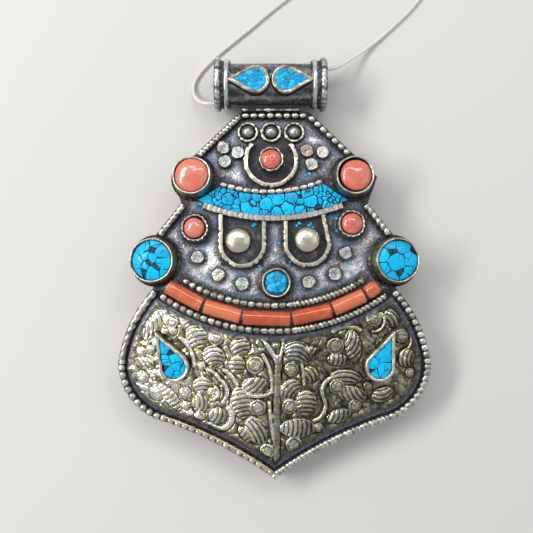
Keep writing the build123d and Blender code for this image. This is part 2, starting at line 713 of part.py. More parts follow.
def thread(name, points):
    """A strand along its points, with every corner rounded as far as its runs allow."""
    route = [Vector(*point) for point in points]
    radii = []
    for before, here, after in zip(route, route[1:], route[2:]):
        turn = radians((here - before).get_angle(after - here))
        shorter = min((here - before).length, (after - here).length)
        radii.append(FILLET_SHARE * shorter / tan(turn / 2))
    path = FilletPolyline(*route, radius=radii)
    strand = sweep(Plane(origin=path @ 0, z_dir=path % 0) * Circle(THREAD_DIAMETER / 2), path=path)
    section = Circle(THREAD_DIAMETER / 2).area
    print(name, "length", round(path.length, 2), "radii", [round(radius, 1) for radius in radii])
    print(name, "volume over section times length", round(strand.volume / (section * path.length), 4))
    return strand


def thread_knot():
    """The knot that joins the ends of the two strands."""
    left, right = Vector(*THREAD_LEFT[-1]), Vector(*THREAD_RIGHT[-1])
    barrel = Cylinder(KNOT_RADIUS, (right - left).length)
    barrel = fillet(barrel.edges().filter_by(GeomType.CIRCLE), KNOT_EDGE)
    return Pos((left + right) / 2) * Rot(0, 90, 0) * barrel


# All nodes

def case_nodes(outline):
    """The case, its embossed panel and the wires on its face."""
    return {
        "back_plate": extrude(outline, BACK_THICKNESS),
        "tray_wall": tray_wall(outline),
        "side_band": side_band(outline),
        "front_plate": sheet_on_dome(outline, -PLATE_THICKNESS, 0),
        "embossed_panel": embossed_panel(outline),
        "rim_wire_upper": Compound(rim_wires(outline, NECK_Y, TOP_Y)),
        "rim_wire_middle": Compound(rim_wires(outline, NOTCH_Y, NECK_Y)),
        "rim_wire_lower": Compound(rim_wires(outline, TIP_Y, NOTCH_Y)),
        "channel_wire_upper": channel_wire(CHANNEL_UPPER_RADIUS, CHANNEL_UPPER_LENGTH),
        "channel_wire_lower": channel_wire(CHANNEL_LOWER_RADIUS, CHANNEL_LOWER_LENGTH),
        "mosaic_wire_upper": mosaic_wire((MOSAIC_UPPER_LEFT, MOSAIC_UPPER_LOW, MOSAIC_UPPER_RIGHT)),
        "mosaic_wire_lower": mosaic_wire((MOSAIC_LOWER_LEFT, MOSAIC_LOWER_LOW, MOSAIC_LOWER_RIGHT)),
        "mosaic_bed": mosaic_bed(),
    }


def stone_nodes():
    """Every stone and its bezel, and the row of coral beads."""
    large = (LARGE_BEZEL_WALL, BEZEL_FLARE)
    small = (SMALL_BEZEL_WALL, SMALL_BEZEL_FLARE)
    settings = {
        "coral_left": (CORAL_LEFT, CORAL_BEZEL_RADIUS, CORAL_BEZEL_HEIGHT, large),
        "coral_right": (CORAL_RIGHT, CORAL_BEZEL_RADIUS, CORAL_BEZEL_HEIGHT, large),
        "turquoise_left": (TURQUOISE_LEFT, TURQUOISE_BEZEL_RADIUS, TURQUOISE_BEZEL_HEIGHT, large),
        "turquoise_right": (TURQUOISE_RIGHT, TURQUOISE_BEZEL_RADIUS, TURQUOISE_BEZEL_HEIGHT, large),
        "small_coral_left": (SMALL_CORAL_LEFT, SMALL_CORAL_RADIUS, SMALL_CORAL_HEIGHT, small),
        "small_coral_right": (SMALL_CORAL_RIGHT, SMALL_CORAL_RADIUS, SMALL_CORAL_HEIGHT, small),
        "centre_coral": (HORSESHOE_CENTRE, CENTRE_CORAL_RADIUS, CENTRE_CORAL_HEIGHT, small),
        "centre_turquoise": (CENTRE_TURQUOISE, CENTRE_TURQUOISE_RADIUS, CENTRE_TURQUOISE_HEIGHT, small),
    }
    nodes = {}
    for name, (place, radius, height, (wall, flare)) in settings.items():
        nodes[name + "_bezel"] = round_bezel(place, radius, wall, height, flare)
        nodes[name + "_stone"] = set_stone(place, radius, wall, height)
    drops = {
        "panel_drop_left": panel_drop(DROP_LEFT, DROP_LEFT_TURN),
        "panel_drop_right": panel_drop(DROP_RIGHT, DROP_RIGHT_TURN),
        "bail_drop_left": bail_drop(-1),
        "bail_drop_right": bail_drop(1),
    }
    for name, (collar, stone) in drops.items():
        nodes[name + "_bezel"] = collar
        nodes[name + "_stone"] = stone
    for number, bead in enumerate(coral_beads(), 1):
        nodes[f"coral_bead_{number}"] = bead
    return nodes


def ornament_nodes():
    """Strip work, rings and granules."""
    balls = [cabochon(seat(*place), BALL_RADIUS, BALL_HEIGHT - BALL_RADIUS, BALL_HEIGHT) for place in RINGS]
    return {
        "horseshoe_strip": horseshoe(),
        "u_strip_left": u_strip(U_LEFT, 0),
        "u_strip_right": u_strip(U_RIGHT, U_RIGHT_SPLAY),
        "brass_dome_left": brass_dome(U_LEFT, DOME_GRANULE_LEFT_SHIFT),
        "brass_dome_right": brass_dome(U_RIGHT, 0),
        "granule_rings": Compound([ring(place) for place in RINGS]),
        "ring_granules": Compound(balls),
        "shot_upper": Compound([shot(place) for place in UPPER_SHOT]),
        "shot_lower": Compound([shot(place) for place in LOWER_SHOT]),
    }


def bail_nodes():
    """The bail and the thread in it."""
    return {
        "bail_tube": bail_tube(),
        "bail_collar_left": bail_collar(-1),
        "bail_collar_right": bail_collar(1),
        "bail_saddle": bail_saddle(),
        "thread_left": thread("thread_left", THREAD_LEFT),
        "thread_right": thread("thread_right", THREAD_RIGHT),
        "thread_knot": thread_knot(),
    }


def main():
    os.makedirs("parts", exist_ok=True)
    nodes = {**case_nodes(case_outline()), **stone_nodes(), **ornament_nodes(), **bail_nodes()}
    for name, shape in nodes.items():
        export_step(shape, f"parts/{name}.step")
    print(len(nodes), "nodes")


main()
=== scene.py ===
import bisect
import math
import random

import bmesh
import bpy
from mathutils import Matrix, Vector, noise
from mathutils.kdtree import KDTree


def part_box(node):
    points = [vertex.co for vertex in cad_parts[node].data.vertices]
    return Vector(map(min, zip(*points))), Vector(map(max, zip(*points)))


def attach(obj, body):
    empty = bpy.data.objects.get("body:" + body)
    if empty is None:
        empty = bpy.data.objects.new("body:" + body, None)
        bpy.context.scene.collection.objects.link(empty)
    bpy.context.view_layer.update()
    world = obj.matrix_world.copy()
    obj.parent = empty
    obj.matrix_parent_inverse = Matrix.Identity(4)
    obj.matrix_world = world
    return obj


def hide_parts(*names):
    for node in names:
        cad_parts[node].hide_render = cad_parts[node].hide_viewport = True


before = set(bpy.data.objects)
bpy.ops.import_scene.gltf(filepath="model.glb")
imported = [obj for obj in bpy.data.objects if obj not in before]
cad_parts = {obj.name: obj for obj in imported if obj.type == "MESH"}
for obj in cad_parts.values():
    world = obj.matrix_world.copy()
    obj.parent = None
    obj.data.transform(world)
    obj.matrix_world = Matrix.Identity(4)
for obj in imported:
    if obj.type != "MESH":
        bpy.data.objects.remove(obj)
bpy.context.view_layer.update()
scene = bpy.context.scene

# Ghau amulet box pendant, lying face up. Shapes are drawn in millimetres, and MM takes them to metres.
MM = 0.001
WELD = 0.0005
TINY = 1e-6
TURN = 2 * math.pi
SIDES = (("left", -1), ("right", 1))

# The face is the cap of a large ball
DOME_RADIUS = 220.0
DOME_CENTRE = Vector((0.0, -6.0, -211.0))
SHEET_THICKNESS = 0.7
SHEET_DENT = 0.05
SHADE_REACH = 1.5

# Corners of the case's right half, from the top down, and how far its curved edges leave their chords
TOP = (7.5, 33.3)
SHOULDER = (21.8, 19.4)
NECK = (19.7, 13.9)
WAIST = (28.0, 3.5)
NOTCH = (25.5, -4.1)
LOBE = (33.2, -20.1)
CORNER = (24.4, -32.2)
TIP = (0.0, -44.8)
FLARE_BOW = 1.4
CORNER_BOW = 2.4
TIP_BOW = -1.2
LINE_STEP = 0.25

# Wires on the face, by their radius
RIM_WIRE = 0.85
CHANNEL_WIRE = 0.8
MOSAIC_WIRE = 0.65
MOSAIC_BAND = 0.75
RING_WIRE = 0.35
BEAD_STEPS = 8
TIP_BEAD = (0.0, -43.78)

# Gilt wire over the inner side of the beads, on the left of the tip
GILT_RADIUS = 0.22
GILT_INSET = 0.45
GILT_HEIGHT = 1.5

# Coral channel: radius and length of its two wires, and the share of each that is beaded
CHANNEL_CENTRE = (-0.3, 28.32)
CHANNEL_WIRES = {"upper": (36.0, 39.7), "lower": (41.3, 50.2)}
CHANNEL_BEADED = 0.6

# Coral tubes along the middle of the channel
TUBE_LINE = 38.65
TUBE_RADIUS = 1.55
TUBE_BED = 0.6
TUBE_GAP = 0.5
TUBE_LENGTHS = (8.1, 7.8, 9.7, 8.1, 7.0, 3.1)
TUBE_TONES = (0.15, 0.7, -0.35, -0.3, 0.5, -0.1)
SHORT_TUBE = 5.0

# Mosaic band: its two wires by their ends and lowest points, the sizes of its chips and its crushed stretches
MOSAIC_UPPER = ((-11.5, 17.8), (-0.8, 16.1), (10.1, 18.4))
MOSAIC_LOWER = ((-15.0, 13.3), (-0.8, 10.5), (14.3, 13.3))
MOSAIC_END = (0.9, 0.5)
MOSAIC_BED_HEIGHT = 0.45
MOSAIC_CHIP_HEIGHT = 0.4
MOSAIC_SIZES = (1.35, 1.0, 0.7, 0.45, 0.3)
MOSAIC_TRIES = 260
MOSAIC_CRUSHED = ((-12.8, -10.3), (8.8, 20.0))
CRUSHED_SIZE = 0.5

# Round bezels: place, radius, height, wall, foot flare and teeth round the lip
LARGE_BEZELS = {
    "coral_left": ((-17.0, 19.0), 4.2, 3.7, 0.6, 0.4, 0),
    "coral_right": ((16.4, 19.0), 4.2, 3.7, 0.6, 0.4, 0),
    "turquoise_left": ((-25.0, 1.6), 4.75, 4.0, 0.6, 0.4, 0),
    "turquoise_right": ((25.0, 1.6), 4.75, 4.0, 0.6, 0.4, 0),
}
BEZELS = {
    **LARGE_BEZELS,
    "small_coral_left": ((-16.5, 8.3), 2.95, 2.2, 0.55, 0.2, 17),
    "small_coral_right": ((15.9, 9.2), 2.95, 2.2, 0.55, 0.2, 15),
    "centre_coral": ((-0.75, 22.6), 2.7, 2.2, 0.55, 0.2, 9),
    "centre_turquoise": ((0.3, -2.98), 3.15, 1.8, 0.55, 0.2, 0),
}
BEZEL_FLOOR = 0.5
STONE_CROWN = 0.7
# Coral stones: shift from the middle of the cup, share of the cup's width and tone
CORAL_FITS = {
    "coral_left": (0.0, 1.0, 0.45),
    "coral_right": (0.26, 0.92, 0.05),
    "small_coral_left": (-0.12, 0.92, 0.8),
    "small_coral_right": (0.1, 0.95, 0.0),
    "centre_coral": (0.0, 1.0, -0.2),
}

# Drops: radius of the round end, distance of the tip and bezel wall
PANEL_DROPS = {
    "panel_drop_left": ((-20.8, -20.3), 28.0),
    "panel_drop_right": ((21.7, -20.3), -22.0),
}
PANEL_DROP = (2.5, 6.5, 0.7)
PANEL_DROP_HEIGHT = 2.2
PANEL_THICKNESS = 0.5
BAIL_DROP = (2.2, 4.5, 0.75)
BAIL_DROP_X = 3.15
BAIL_DROP_RISE = 1.0

# Chips of the turquoise stones, and the dark holes between them: x, y and size, from the middle of the stone
CHIPS = {
    "turquoise_left": (
        (-1.9, 2.7, 1.3), (0.9, 3.5, 0.7), (2.6, 1.8, 1.5), (2.5, -0.7, 1.2), (0.5, -2.9, 1.3),
        (-1.2, 1.0, 0.8), (0.3, 0.5, 0.6), (-3.0, -0.4, 1.3), (-1.4, -1.2, 0.6), (2.4, -2.7, 0.7),
        (-2.6, -2.6, 0.7),
    ),
    "turquoise_right": (
        (-0.5, -0.4, 1.6), (1.1, 2.9, 1.2), (2.5, 0.1, 1.4), (-3.1, 1.0, 1.0), (-1.6, 3.1, 0.6),
        (-2.9, -1.7, 0.7), (-1.3, -3.6, 0.9), (2.4, -2.1, 0.7), (1.5, -3.5, 0.6),
    ),
    "panel_drop_left": (
        (0.2, 4.4, 1.0), (-1.0, 1.8, 1.0), (1.0, 1.6, 1.0), (-1.3, -0.6, 1.0), (0.7, -0.5, 1.0),
        (-0.2, -1.9, 1.0), (1.5, -1.6, 1.0),
    ),
    "panel_drop_right": (
        (0.1, 5.0, 1.0), (-0.6, 2.9, 1.0), (1.1, -0.9, 1.0), (-2.0, -0.3, 1.0), (-0.4, -2.1, 1.0),
    ),
}
HOLES = {
    "turquoise_left": ((0.45, 2.0, 0.1), (1.35, -1.6, 0.65), (-1.6, -2.5, 0.1), (-0.5, -0.3, 0.1)),
    "turquoise_right": ((-1.55, 1.5, 0.35), (0.2, -2.5, 0.05), (3.4, 1.9, 0.05)),
    "panel_drop_left": ((-1.7, 0.7, 0.8), (1.1, 2.7, 0.7)),
    "panel_drop_right": ((-0.7, 5.0, 0.6), (-1.6, -1.5, 0.7)),
}
CHIP_BEVEL = 0.06
LEAST_CHIP = 0.06

# Strip work
STRIP_HEIGHT = 1.3
STRIP_STEP = 0.16
HORSESHOE = (-0.75, 22.6)
HORSESHOE_RADIUS = 5.25
HORSESHOE_MOUTH = 47.0
U_LEFT = (-6.7, 5.0)
U_RIGHT = (6.75, 5.2)
U_RADIUS = 4.45
U_RIGHT_LEAN = 1.2

# Granules
RINGS = ((-5.65, 28.8), (-0.75, 28.8), (4.15, 28.8))
RING_RADIUS = 1.95
BALL_RADIUS = 1.3
BALL_HEIGHT = 1.7
GRANULE_RADIUS = 2.75
GRANULE_HEIGHT = 2.1
GRANULE_RISE = 0.8
GRANULE_LEFT_SHIFT = -0.9
SHOT_RADIUS = 1.3
SHOT_HEIGHT = 0.9
# Shot: x, y and tone, where 0 is grey, 0.4 greenish, 0.65 coppery and 1 pale silver
SHOT = {
    "upper": (
        (-10.8, 25.4, 0.1), (-7.8, 24.4, 0.35), (-10.4, 22.5, 0.2),
        (6.8, 24.8, 0.65), (10.1, 24.4, 1.0), (7.8, 21.9, 0.45),
    ),
    "lower": (
        (-16.1, 2.3, 0.1), (-11.7, -1.4, 0.9), (-6.8, -3.2, 0.4),
        (14.8, 3.2, 0.2), (12.6, -1.2, 0.3), (7.1, -2.8, 0.5),
    ),
}
# Crumbs of turquoise that stuck to the face beside the inlay
CRUMBS = (
    (-4.5, 8.9), (-4.1, 9.3), (-1.8, 4.9), (0.9, 5.3), (5.2, 9.5), (4.6, 8.9), (7.6, 9.4), (8.0, 8.6),
    (7.1, 8.9), (-3.2, 0.4), (-2.8, -0.2), (3.2, 1.4), (12.9, 10.6), (13.0, 8.0), (7.3, 19.9),
    (-15.6, 13.6), (-15.2, 12.5), (2.2, 18.3), (15.8, 1.0),
)
CRUMB_HEIGHT = 0.32

# Places where the face is rubbed bright: x, y and radius
RUBBED = (
    (-13.5, 2.5, 2.6), (-9.0, -2.0, 2.4), (-13.0, -0.5, 2.0), (-7.5, 19.3, 1.6), (8.3, 27.0, 1.2),
    (15.5, -0.5, 2.0), (10.0, 0.8, 1.6), (4.5, 0.5, 1.5), (-3.0, 1.0, 1.5),
)

# Bail: a tube along X with a collar of two rings on a tapered sleeve at each end
BAIL = Vector((-0.85, 39.05, 5.9))
BAIL_LENGTH = 23.6
BAIL_BORE = 3.65
BAIL_OUTER = 4.45
COLLAR_WIDTH = 3.3
SLEEVE_BORE = 4.47
SLEEVE_OUTER = 5.05
SLEEVE_INNER_END = 4.95
RIDGE = 0.7
RIDGE_LINE = 5.05
RIDGE_TEETH = 30
INNER_RIDGE = 0.6
INNER_RIDGE_LINE = 4.75
INNER_RIDGE_INSET = 0.78

# Nylon thread: the points of its two strands from the bail's ends to the knot
THREAD_DIAMETER = 0.8
THREAD_LEFT = (
    (-12.65, 35.5, 3.9), (-14.5, 35.5, 3.9), (-16.2, 36.1, 2.7), (-17.6, 37.7, 1.3), (-17.9, 39.9, 0.5),
    (-17.0, 42.0, 0.4), (-15.2, 44.2, 0.4), (-12.4, 46.9, 0.4), (-8.6, 50.0, 0.4), (-4.4, 53.4, 0.4),
    (-0.2, 57.0, 0.4), (4.3, 60.4, 0.4), (9.6, 63.4, 0.4), (14.9, 65.7, 0.4), (19.6, 67.0, 0.6),
    (22.8, 67.4, 1.0), (25.0, 67.4, 1.0),
)
THREAD_RIGHT = (
    (10.95, 42.77, 4.3), (12.7, 42.77, 4.3), (15.0, 44.2, 3.5), (17.6, 46.2, 2.0), (21.2, 48.9, 0.7),
    (25.2, 52.3, 0.4), (29.2, 56.0, 0.4), (32.2, 59.5, 0.4), (33.5, 62.8, 0.4), (32.6, 65.7, 0.6),
    (30.2, 67.4, 1.0), (28.0, 67.4, 1.0),
)
KNOT_RADIUS = 1.0
KNOT_TURNS = 4

# Leaves of the embossed foliage: centre, length, width, turn from +X, and the turn and bend of their veins
LEAVES = (
    ((-25.4, -11.8), 7.0, 3.0, 57, 98, 0.08),
    ((-16.3, -14.2), 4.9, 4.2, 120, 18, -0.1),
    ((-12.7, -18.3), 4.5, 4.0, -30, 8, -0.2),
    ((-7.2, -16.3), 4.2, 3.8, 60, 20, -0.15),
    ((-7.9, -20.1), 3.6, 3.2, 90, 0, -0.05),
    ((-4.1, -24.5), 5.2, 3.4, 5, 45, 0.05),
    ((-7.1, -28.2), 6.4, 4.0, 100, 14, -0.12),
    ((-3.8, -34.2), 6.0, 4.0, 120, 122, 0.06),
    ((-12.0, -30.9), 3.6, 3.2, 0, 70, 0.12),
    ((-15.7, -28.4), 3.8, 3.1, 100, 85, 0.2),
    ((-15.2, -24.5), 3.8, 3.4, 0, 5, -0.18),
    ((-27.3, -19.9), 4.0, 2.3, -20, -52, 0.0),
    ((-21.9, -27.2), 6.4, 2.4, -52, 35, 0.08),
    ((4.9, -17.4), 5.8, 4.2, -20, -14, -0.2),
    ((7.4, -22.2), 3.5, 3.1, -60, -55, -0.2),
    ((3.2, -25.3), 4.6, 3.7, 45, 48, -0.2),
    ((6.7, -28.2), 5.2, 4.2, 95, 0, -0.14),
    ((4.9, -33.6), 7.2, 3.9, 0, 86, 0.08),
    ((15.0, -22.7), 6.2, 3.0, -5, -4, -0.1),
    ((16.3, -26.4), 6.0, 3.2, -15, -60, 0.1),
    ((13.5, -31.0), 5.0, 2.7, 15, 75, 0.1),
    ((22.8, -26.6), 4.6, 3.0, 20, 12, 0.18),
    ((16.4, -16.2), 6.6, 3.2, 100, 60, 0.1),
    ((13.3, -19.1), 4.4, 2.4, -10, 82, 0.08),
    ((24.6, -10.4), 3.9, 2.8, 120, -50, -0.2),
    ((27.8, -18.8), 3.8, 3.4, 75, 80, -0.2),
    ((-6.3, -35.0), 4.0, 1.6, 125, 50, 0.0),
    ((7.8, -17.0), 3.0, 1.6, -10, 60, 0.0),
)
# Buds: centre and radius
BUDS = (
    ((-21.7, -10.9), 1.7), ((-12.3, -14.4), 1.7), ((-4.1, -20.1), 1.95), ((-3.5, -29.1), 1.8),
    ((-1.6, -38.6), 1.7), ((-24.8, -26.3), 1.6), ((-28.0, -22.9), 1.4), ((3.5, -21.0), 1.6),
    ((3.1, -28.9), 1.7), ((4.1, -37.2), 1.9), ((13.0, -24.7), 1.7), ((12.7, -16.2), 1.9),
    ((20.8, -10.5), 1.7), ((26.7, -14.1), 1.6), ((-21.4, -13.1), 1.0), ((-15.8, -31.1), 1.2),
    ((-13.2, -25.9), 1.0), ((-15.4, -20.4), 1.0), ((-18.8, -26.1), 1.3), ((-18.8, -28.8), 1.0),
    ((-28.2, -17.5), 1.2), ((-26.1, -17.0), 1.1), ((0.2, -16.0), 0.9), ((16.9, -28.9), 1.4),
    ((9.2, -33.4), 1.1), ((19.6, -24.6), 1.0), ((28.6, -22.0), 1.1),
)
# Stems: half width, and three points along each
TRUNK_HALF = 0.85
STEMS = (
    (TRUNK_HALF, ((0.8, -18.5), (0.4, -30.0), (0.5, -41.0))),
    (0.6, ((-2.2, -14.8), (-0.9, -17.0), (0.4, -19.4))),
    (0.6, ((-19.5, -9.2), (-16.6, -9.9), (-13.4, -11.2))),
    (0.6, ((-19.7, -14.6), (-17.6, -17.3), (-17.0, -20.2))),
    (0.8, ((-13.6, -33.0), (-9.2, -32.1), (-9.6, -29.4))),
    (0.5, ((-10.9, -23.6), (-10.0, -25.7), (-10.9, -28.0))),
    (0.55, ((12.7, -22.6), (10.2, -24.4), (10.3, -27.2))),
    (0.55, ((10.3, -27.2), (10.4, -30.0), (8.4, -31.9))),
    (0.6, ((12.4, -13.1), (15.0, -12.0), (17.9, -12.8))),
    (0.45, ((1.8, -14.6), (1.5, -17.2), (0.8, -19.6))),
    (0.5, ((-2.4, -18.0), (-1.0, -21.2), (-0.6, -25.6))),
    (0.5, ((-5.6, -26.4), (-3.3, -26.7), (-0.6, -25.9))),
    (0.5, ((-1.1, -28.0), (-0.8, -31.5), (-0.3, -35.8))),
    (0.45, ((-12.3, -24.9), (-11.9, -26.4), (-13.4, -27.5))),
    (0.5, ((-14.1, -21.1), (-12.4, -22.0), (-11.4, -23.3))),
    (0.55, ((-10.5, -21.3), (-8.9, -22.6), (-8.0, -24.3))),
    (0.45, ((5.7, -20.1), (6.0, -22.2), (6.2, -24.2))),
    (0.45, ((22.3, -9.2), (23.0, -11.4), (20.6, -13.2))),
    (0.45, ((28.7, -13.0), (29.0, -15.0), (28.2, -16.6))),
)
RELIEF_GROUND = 0.4
LEAF_RISE = 0.85
BUD_RISE = 0.7
STEM_RISE = 0.75
LEAF_SWELL = 1.1
# Painted light on the leaves: a highlight at each leaf's upper-left end and shade at its lower right
LEAF_PAINTED_LIGHT = 0.45
TRUNK_TARNISH = 0.42
VEIN_SPACING = 0.95
VEIN_DEPTH = 0.32
CREASE_REACH = 0.8
PANEL_INSET = 2.0
PANEL_MARGIN = 1.1
PANEL_COLUMNS = 410
PANEL_ROWS = 200
PANEL_BACK_ROWS = 12
DROP_ROOM = 0.2

# Floor and camera: the camera looks straight down on the pendant
FLOOR_SIZE = 1.2
CAMERA_PLACE = Vector((-1.7, 0.42, 170.0))
VIEW_HALF_WIDTH = 56.5
VIEW_DISTANCE = 163.5


# Setting out on the face

def held(value):
    """A value kept between 0 and 1."""
    return min(1.0, max(0.0, value))


def at_end(share):
    """Whether a share of the way is the start or the end."""
    return share < TINY or share > 1 - TINY


def waver(x, y, z):
    """Smooth noise at a place."""
    return noise.noise(Vector((x, y, z)))


def ring_noise(angle, rate, seed):
    """Noise round a circle, without a seam."""
    return waver(math.cos(angle) * rate, math.sin(angle) * rate, seed)


def on_dome(x, y, height=0.0):
    """The point over (x, y) that stands height off the face."""
    radius = DOME_RADIUS + height
    return Vector((x, y, DOME_CENTRE.z + math.sqrt(radius**2 - x**2 - (y - DOME_CENTRE.y) ** 2)))


def seat(x, y, turn=0.0, height=0.0):
    """A frame that sits on the face over (x, y), with its own Y turned from the pendant's, in degrees."""
    point = on_dome(x, y, height)
    out = (point - DOME_CENTRE).normalized()
    across = Vector((out.z, 0.0, -out.x)).normalized()
    axes = Matrix((across, out.cross(across), out)).transposed().to_4x4()
    return Matrix.Translation(point) @ axes @ Matrix.Rotation(math.radians(turn), 4, "Z")


def bowed(start, end, bow=0.0):
    """Flat points along an arc that leaves its chord by bow, to the left of the way along it."""
    a, b = Vector(start), Vector(end)
    chord = b - a
    left = Vector((-chord.y, chord.x)).normalized()
    count = math.ceil(chord.length / LINE_STEP)
    points = []
    for index in range(count + 1):
        share = index / count
        lift = 0.0
        if bow:
            radius = (chord.length_squared / 4 + bow**2) / (2 * bow)
            along = (share - 0.5) * chord.length
            lift = math.copysign(math.sqrt(radius**2 - along**2), bow) + bow - radius
        points.append(a + chord * share + left * lift)
    return points


def arc_through(start, middle, end):
    """Flat points along the arc through three points."""
    a = Vector(start)
    u, v = Vector(middle) - a, Vector(end) - a
    uu, vv = u.length_squared, v.length_squared
    cross = 2 * (u.x * v.y - u.y * v.x)
    centre = a + Vector((v.y * uu - u.y * vv, u.x * vv - v.x * uu)) / cross
    bow = (a - centre).length - ((a + Vector(end)) / 2 - centre).length
    return bowed(start, end, bow if cross < 0 else -bow)


def mirrored(points):
    """The same line on the other half of the case, still clockwise."""
    return [Vector((-point.x, point.y)) for point in reversed(points)]


def moved_in(points, amount):
    """A clockwise line moved towards the inside of the case."""
    moved = []
    for index, point in enumerate(points):
        way = points[min(index + 1, len(points) - 1)] - points[max(index - 1, 0)]
        moved.append(point + Vector((way.y, -way.x)).normalized() * amount)
    return moved


def edge_level(line, x, past=None):
    """The height of a flat line at a place across, or another value past its ends."""
    for a, b in zip(line, line[1:]):
        low, high = sorted((a, b), key=lambda point: point.x)
        if low.x <= x <= high.x:
            return low.y + (high.y - low.y) * (x - low.x) / max(TINY, high.x - low.x)
    return past


SLOPE = bowed(TOP, SHOULDER)
RETURN = bowed(SHOULDER, NECK)
FLANK = bowed(NECK, WAIST)
UNDERCUT = bowed(WAIST, NOTCH)
FLARE = bowed(NOTCH, LOBE, FLARE_BOW)
CORNER_EDGE = bowed(LOBE, CORNER, CORNER_BOW)
TIP_EDGE = bowed(CORNER, TIP, TIP_BOW)
TOP_EDGE = bowed((-TOP[0], TOP[1]), TOP)
RIGHT_SIDE = (SLOPE, RETURN, FLANK, UNDERCUT, FLARE, CORNER_EDGE, TIP_EDGE)


def near_points(lines):
    """A finder for the nearest point of flat lines."""
    points = [point for line in lines for point in line]
    finder = KDTree(len(points))
    for index, point in enumerate(points):
        finder.insert((point[0], point[1], 0.0), index)
    finder.balance()
    return finder


def gap_to(finder, x, y):
    """The distance from a flat point to the nearest point of a finder."""
    return finder.find((x, y, 0.0))[2]


def clear_of_bezels(point, room):
    """Whether a flat point is clear of the four large bezels."""
    for place, radius, _, _, flare, _ in LARGE_BEZELS.values():
        if (Vector(place) - point).length < radius + flare + room:
            return False
    return True


def rim_line(edge, neighbours):
    """The middle line of a rim wire inside one edge, cut where it is too near to another edge or a bezel."""
    finder = near_points(neighbours)
    kept = []
    for point in moved_in(edge, RIM_WIRE):
        if gap_to(finder, point.x, point.y) > 0.98 * RIM_WIRE and clear_of_bezels(point, 0.3):
            kept.append(point)
    return kept


class Run:
    """A line over the face through flat points, measured along its length."""

    def __init__(self, points, height):
        self.points = [on_dome(point[0], point[1], height) for point in points]
        self.marks = [0.0]
        for before, after in zip(self.points, self.points[1:]):
            self.marks.append(self.marks[-1] + (after - before).length)
        self.length = self.marks[-1]

    def at(self, distance):
        """The place at a distance along the line, with its sideways and outward directions."""
        index = min(max(bisect.bisect_right(self.marks, distance), 1), len(self.marks) - 1)
        before, after = self.points[index - 1], self.points[index]
        share = (distance - self.marks[index - 1]) / (self.marks[index] - self.marks[index - 1])
        place = before.lerp(after, share)
        out = (place - DOME_CENTRE).normalized()
        way = self.points[min(index + 1, len(self.points) - 1)] - self.points[max(index - 2, 0)]
        return place, way.cross(out).normalized(), out


def hoop(centre, radius, axis, start, lying=False):
    """A ring's places by distance, as a line gives them: a lying ring's outward direction is its axis."""
    across = axis.cross(start)

    def at(distance):
        angle = distance / radius
        away = start * math.cos(angle) + across * math.sin(angle)
        spot = centre + away * radius
        return (spot, away, axis) if lying else (spot, axis, away)

    return at


def through(points):
    """A smooth run through points, by the share of the way along them."""
    spans = len(points) - 1
    knots = [Vector(point) for point in points]

    def at(share):
        index = min(int(share * spans), spans - 1)
        t = share * spans - index
        a, b, c, d = (knots[min(max(index + step, 0), spans)] for step in (-1, 0, 1, 2))
        return b + 0.5 * t * ((c - a) + t * ((2 * a - 5 * b + 4 * c - d) + t * (3 * (b - c) + d - a)))

    return at


def straight(points):
    """A run of straight lines between points, by the share of the way along, with the number of the line."""
    spans = len(points) - 1
    knots = [Vector(point) for point in points]

    def at(share):
        index = min(int(share * spans), spans - 1)
        return knots[index].lerp(knots[index + 1], share * spans - index), index

    return at


# Shapes

def new_shape():
    """An empty shape whose points carry wear, 0 in a groove and 1 on a rubbed top, and a tint."""
    shape = bmesh.new()
    shape.verts.layers.float.new("wear")
    shape.verts.layers.float.new("tint")
    return shape


def painted(shape, tint):
    """Gives all points of a shape one tint."""
    layer = shape.verts.layers.float["tint"]
    for vert in shape.verts:
        vert[layer] = tint


def skin(shape, along, around, place, finish=0):
    """A grid bent into a skin: place gives the point, wear and tint for two shares, along and around."""
    wear = shape.verts.layers.float["wear"]
    tint = shape.verts.layers.float["tint"]
    made = bmesh.ops.create_grid(shape, x_segments=along, y_segments=around, size=0.5)["verts"]
    for vert in made:
        vert.co, vert[wear], vert[tint] = place(vert.co.x + 0.5, vert.co.y + 0.5)
    for vert in made:
        for face in vert.link_faces:
            face.material_index = finish
    bmesh.ops.remove_doubles(shape, verts=made, dist=WELD)


def wire(shape, at, length, size, steps, around=10, closed=False, flat=0.85, finish=0):
    """A wire along a line: size gives radius and wear by distance and angle, and flat rubs its top down."""

    def place(u, v):
        spot, side, out = at(u * length)
        angle = TURN * v
        radius, wear = size(u * length, angle)
        if not closed and at_end(u):
            radius = 0.0
        lift = min(radius * math.sin(angle), flat * radius)
        return spot + side * radius * math.cos(angle) + out * lift, wear, 0.0

    skin(shape, steps, around, place, finish)


def beads(radius, pitch, groove, starts=0, seed=0.0, kept=0.2):
    """The section of a wire of uneven beads, or of twisted strands where starts isn't 0.

    kept is the share of the beads' shine that their grooves have.
    """

    def size(distance, angle):
        share = (distance / pitch + starts * angle / TURN) % 1
        swell = math.sqrt(max(0.0, 1 - (2 * share - 1) ** 2))
        lump = 1 - 0.28 * abs(waver(distance * 0.65, seed, 0.5))
        worn = waver(distance * 0.9, seed + 7.0, 2.0)
        shine = kept + (1 - kept) * swell**1.6
        wear = shine * (0.3 + 0.7 * max(0.0, math.sin(angle))) * (0.85 + 0.7 * worn)
        return radius * lump * (groove + (1 - groove) * swell), wear

    return size


def beaded(shape, line, radius, pitch, groove, starts=0, flat=0.85, kept=0.2):
    """A beaded or twisted wire along a line on the face, with whole beads."""
    count = max(1, round(line.length / pitch))
    size = beads(radius, line.length / count, groove, starts, line.length, kept)
    wire(shape, line.at, line.length, size, count * BEAD_STEPS, flat=flat)


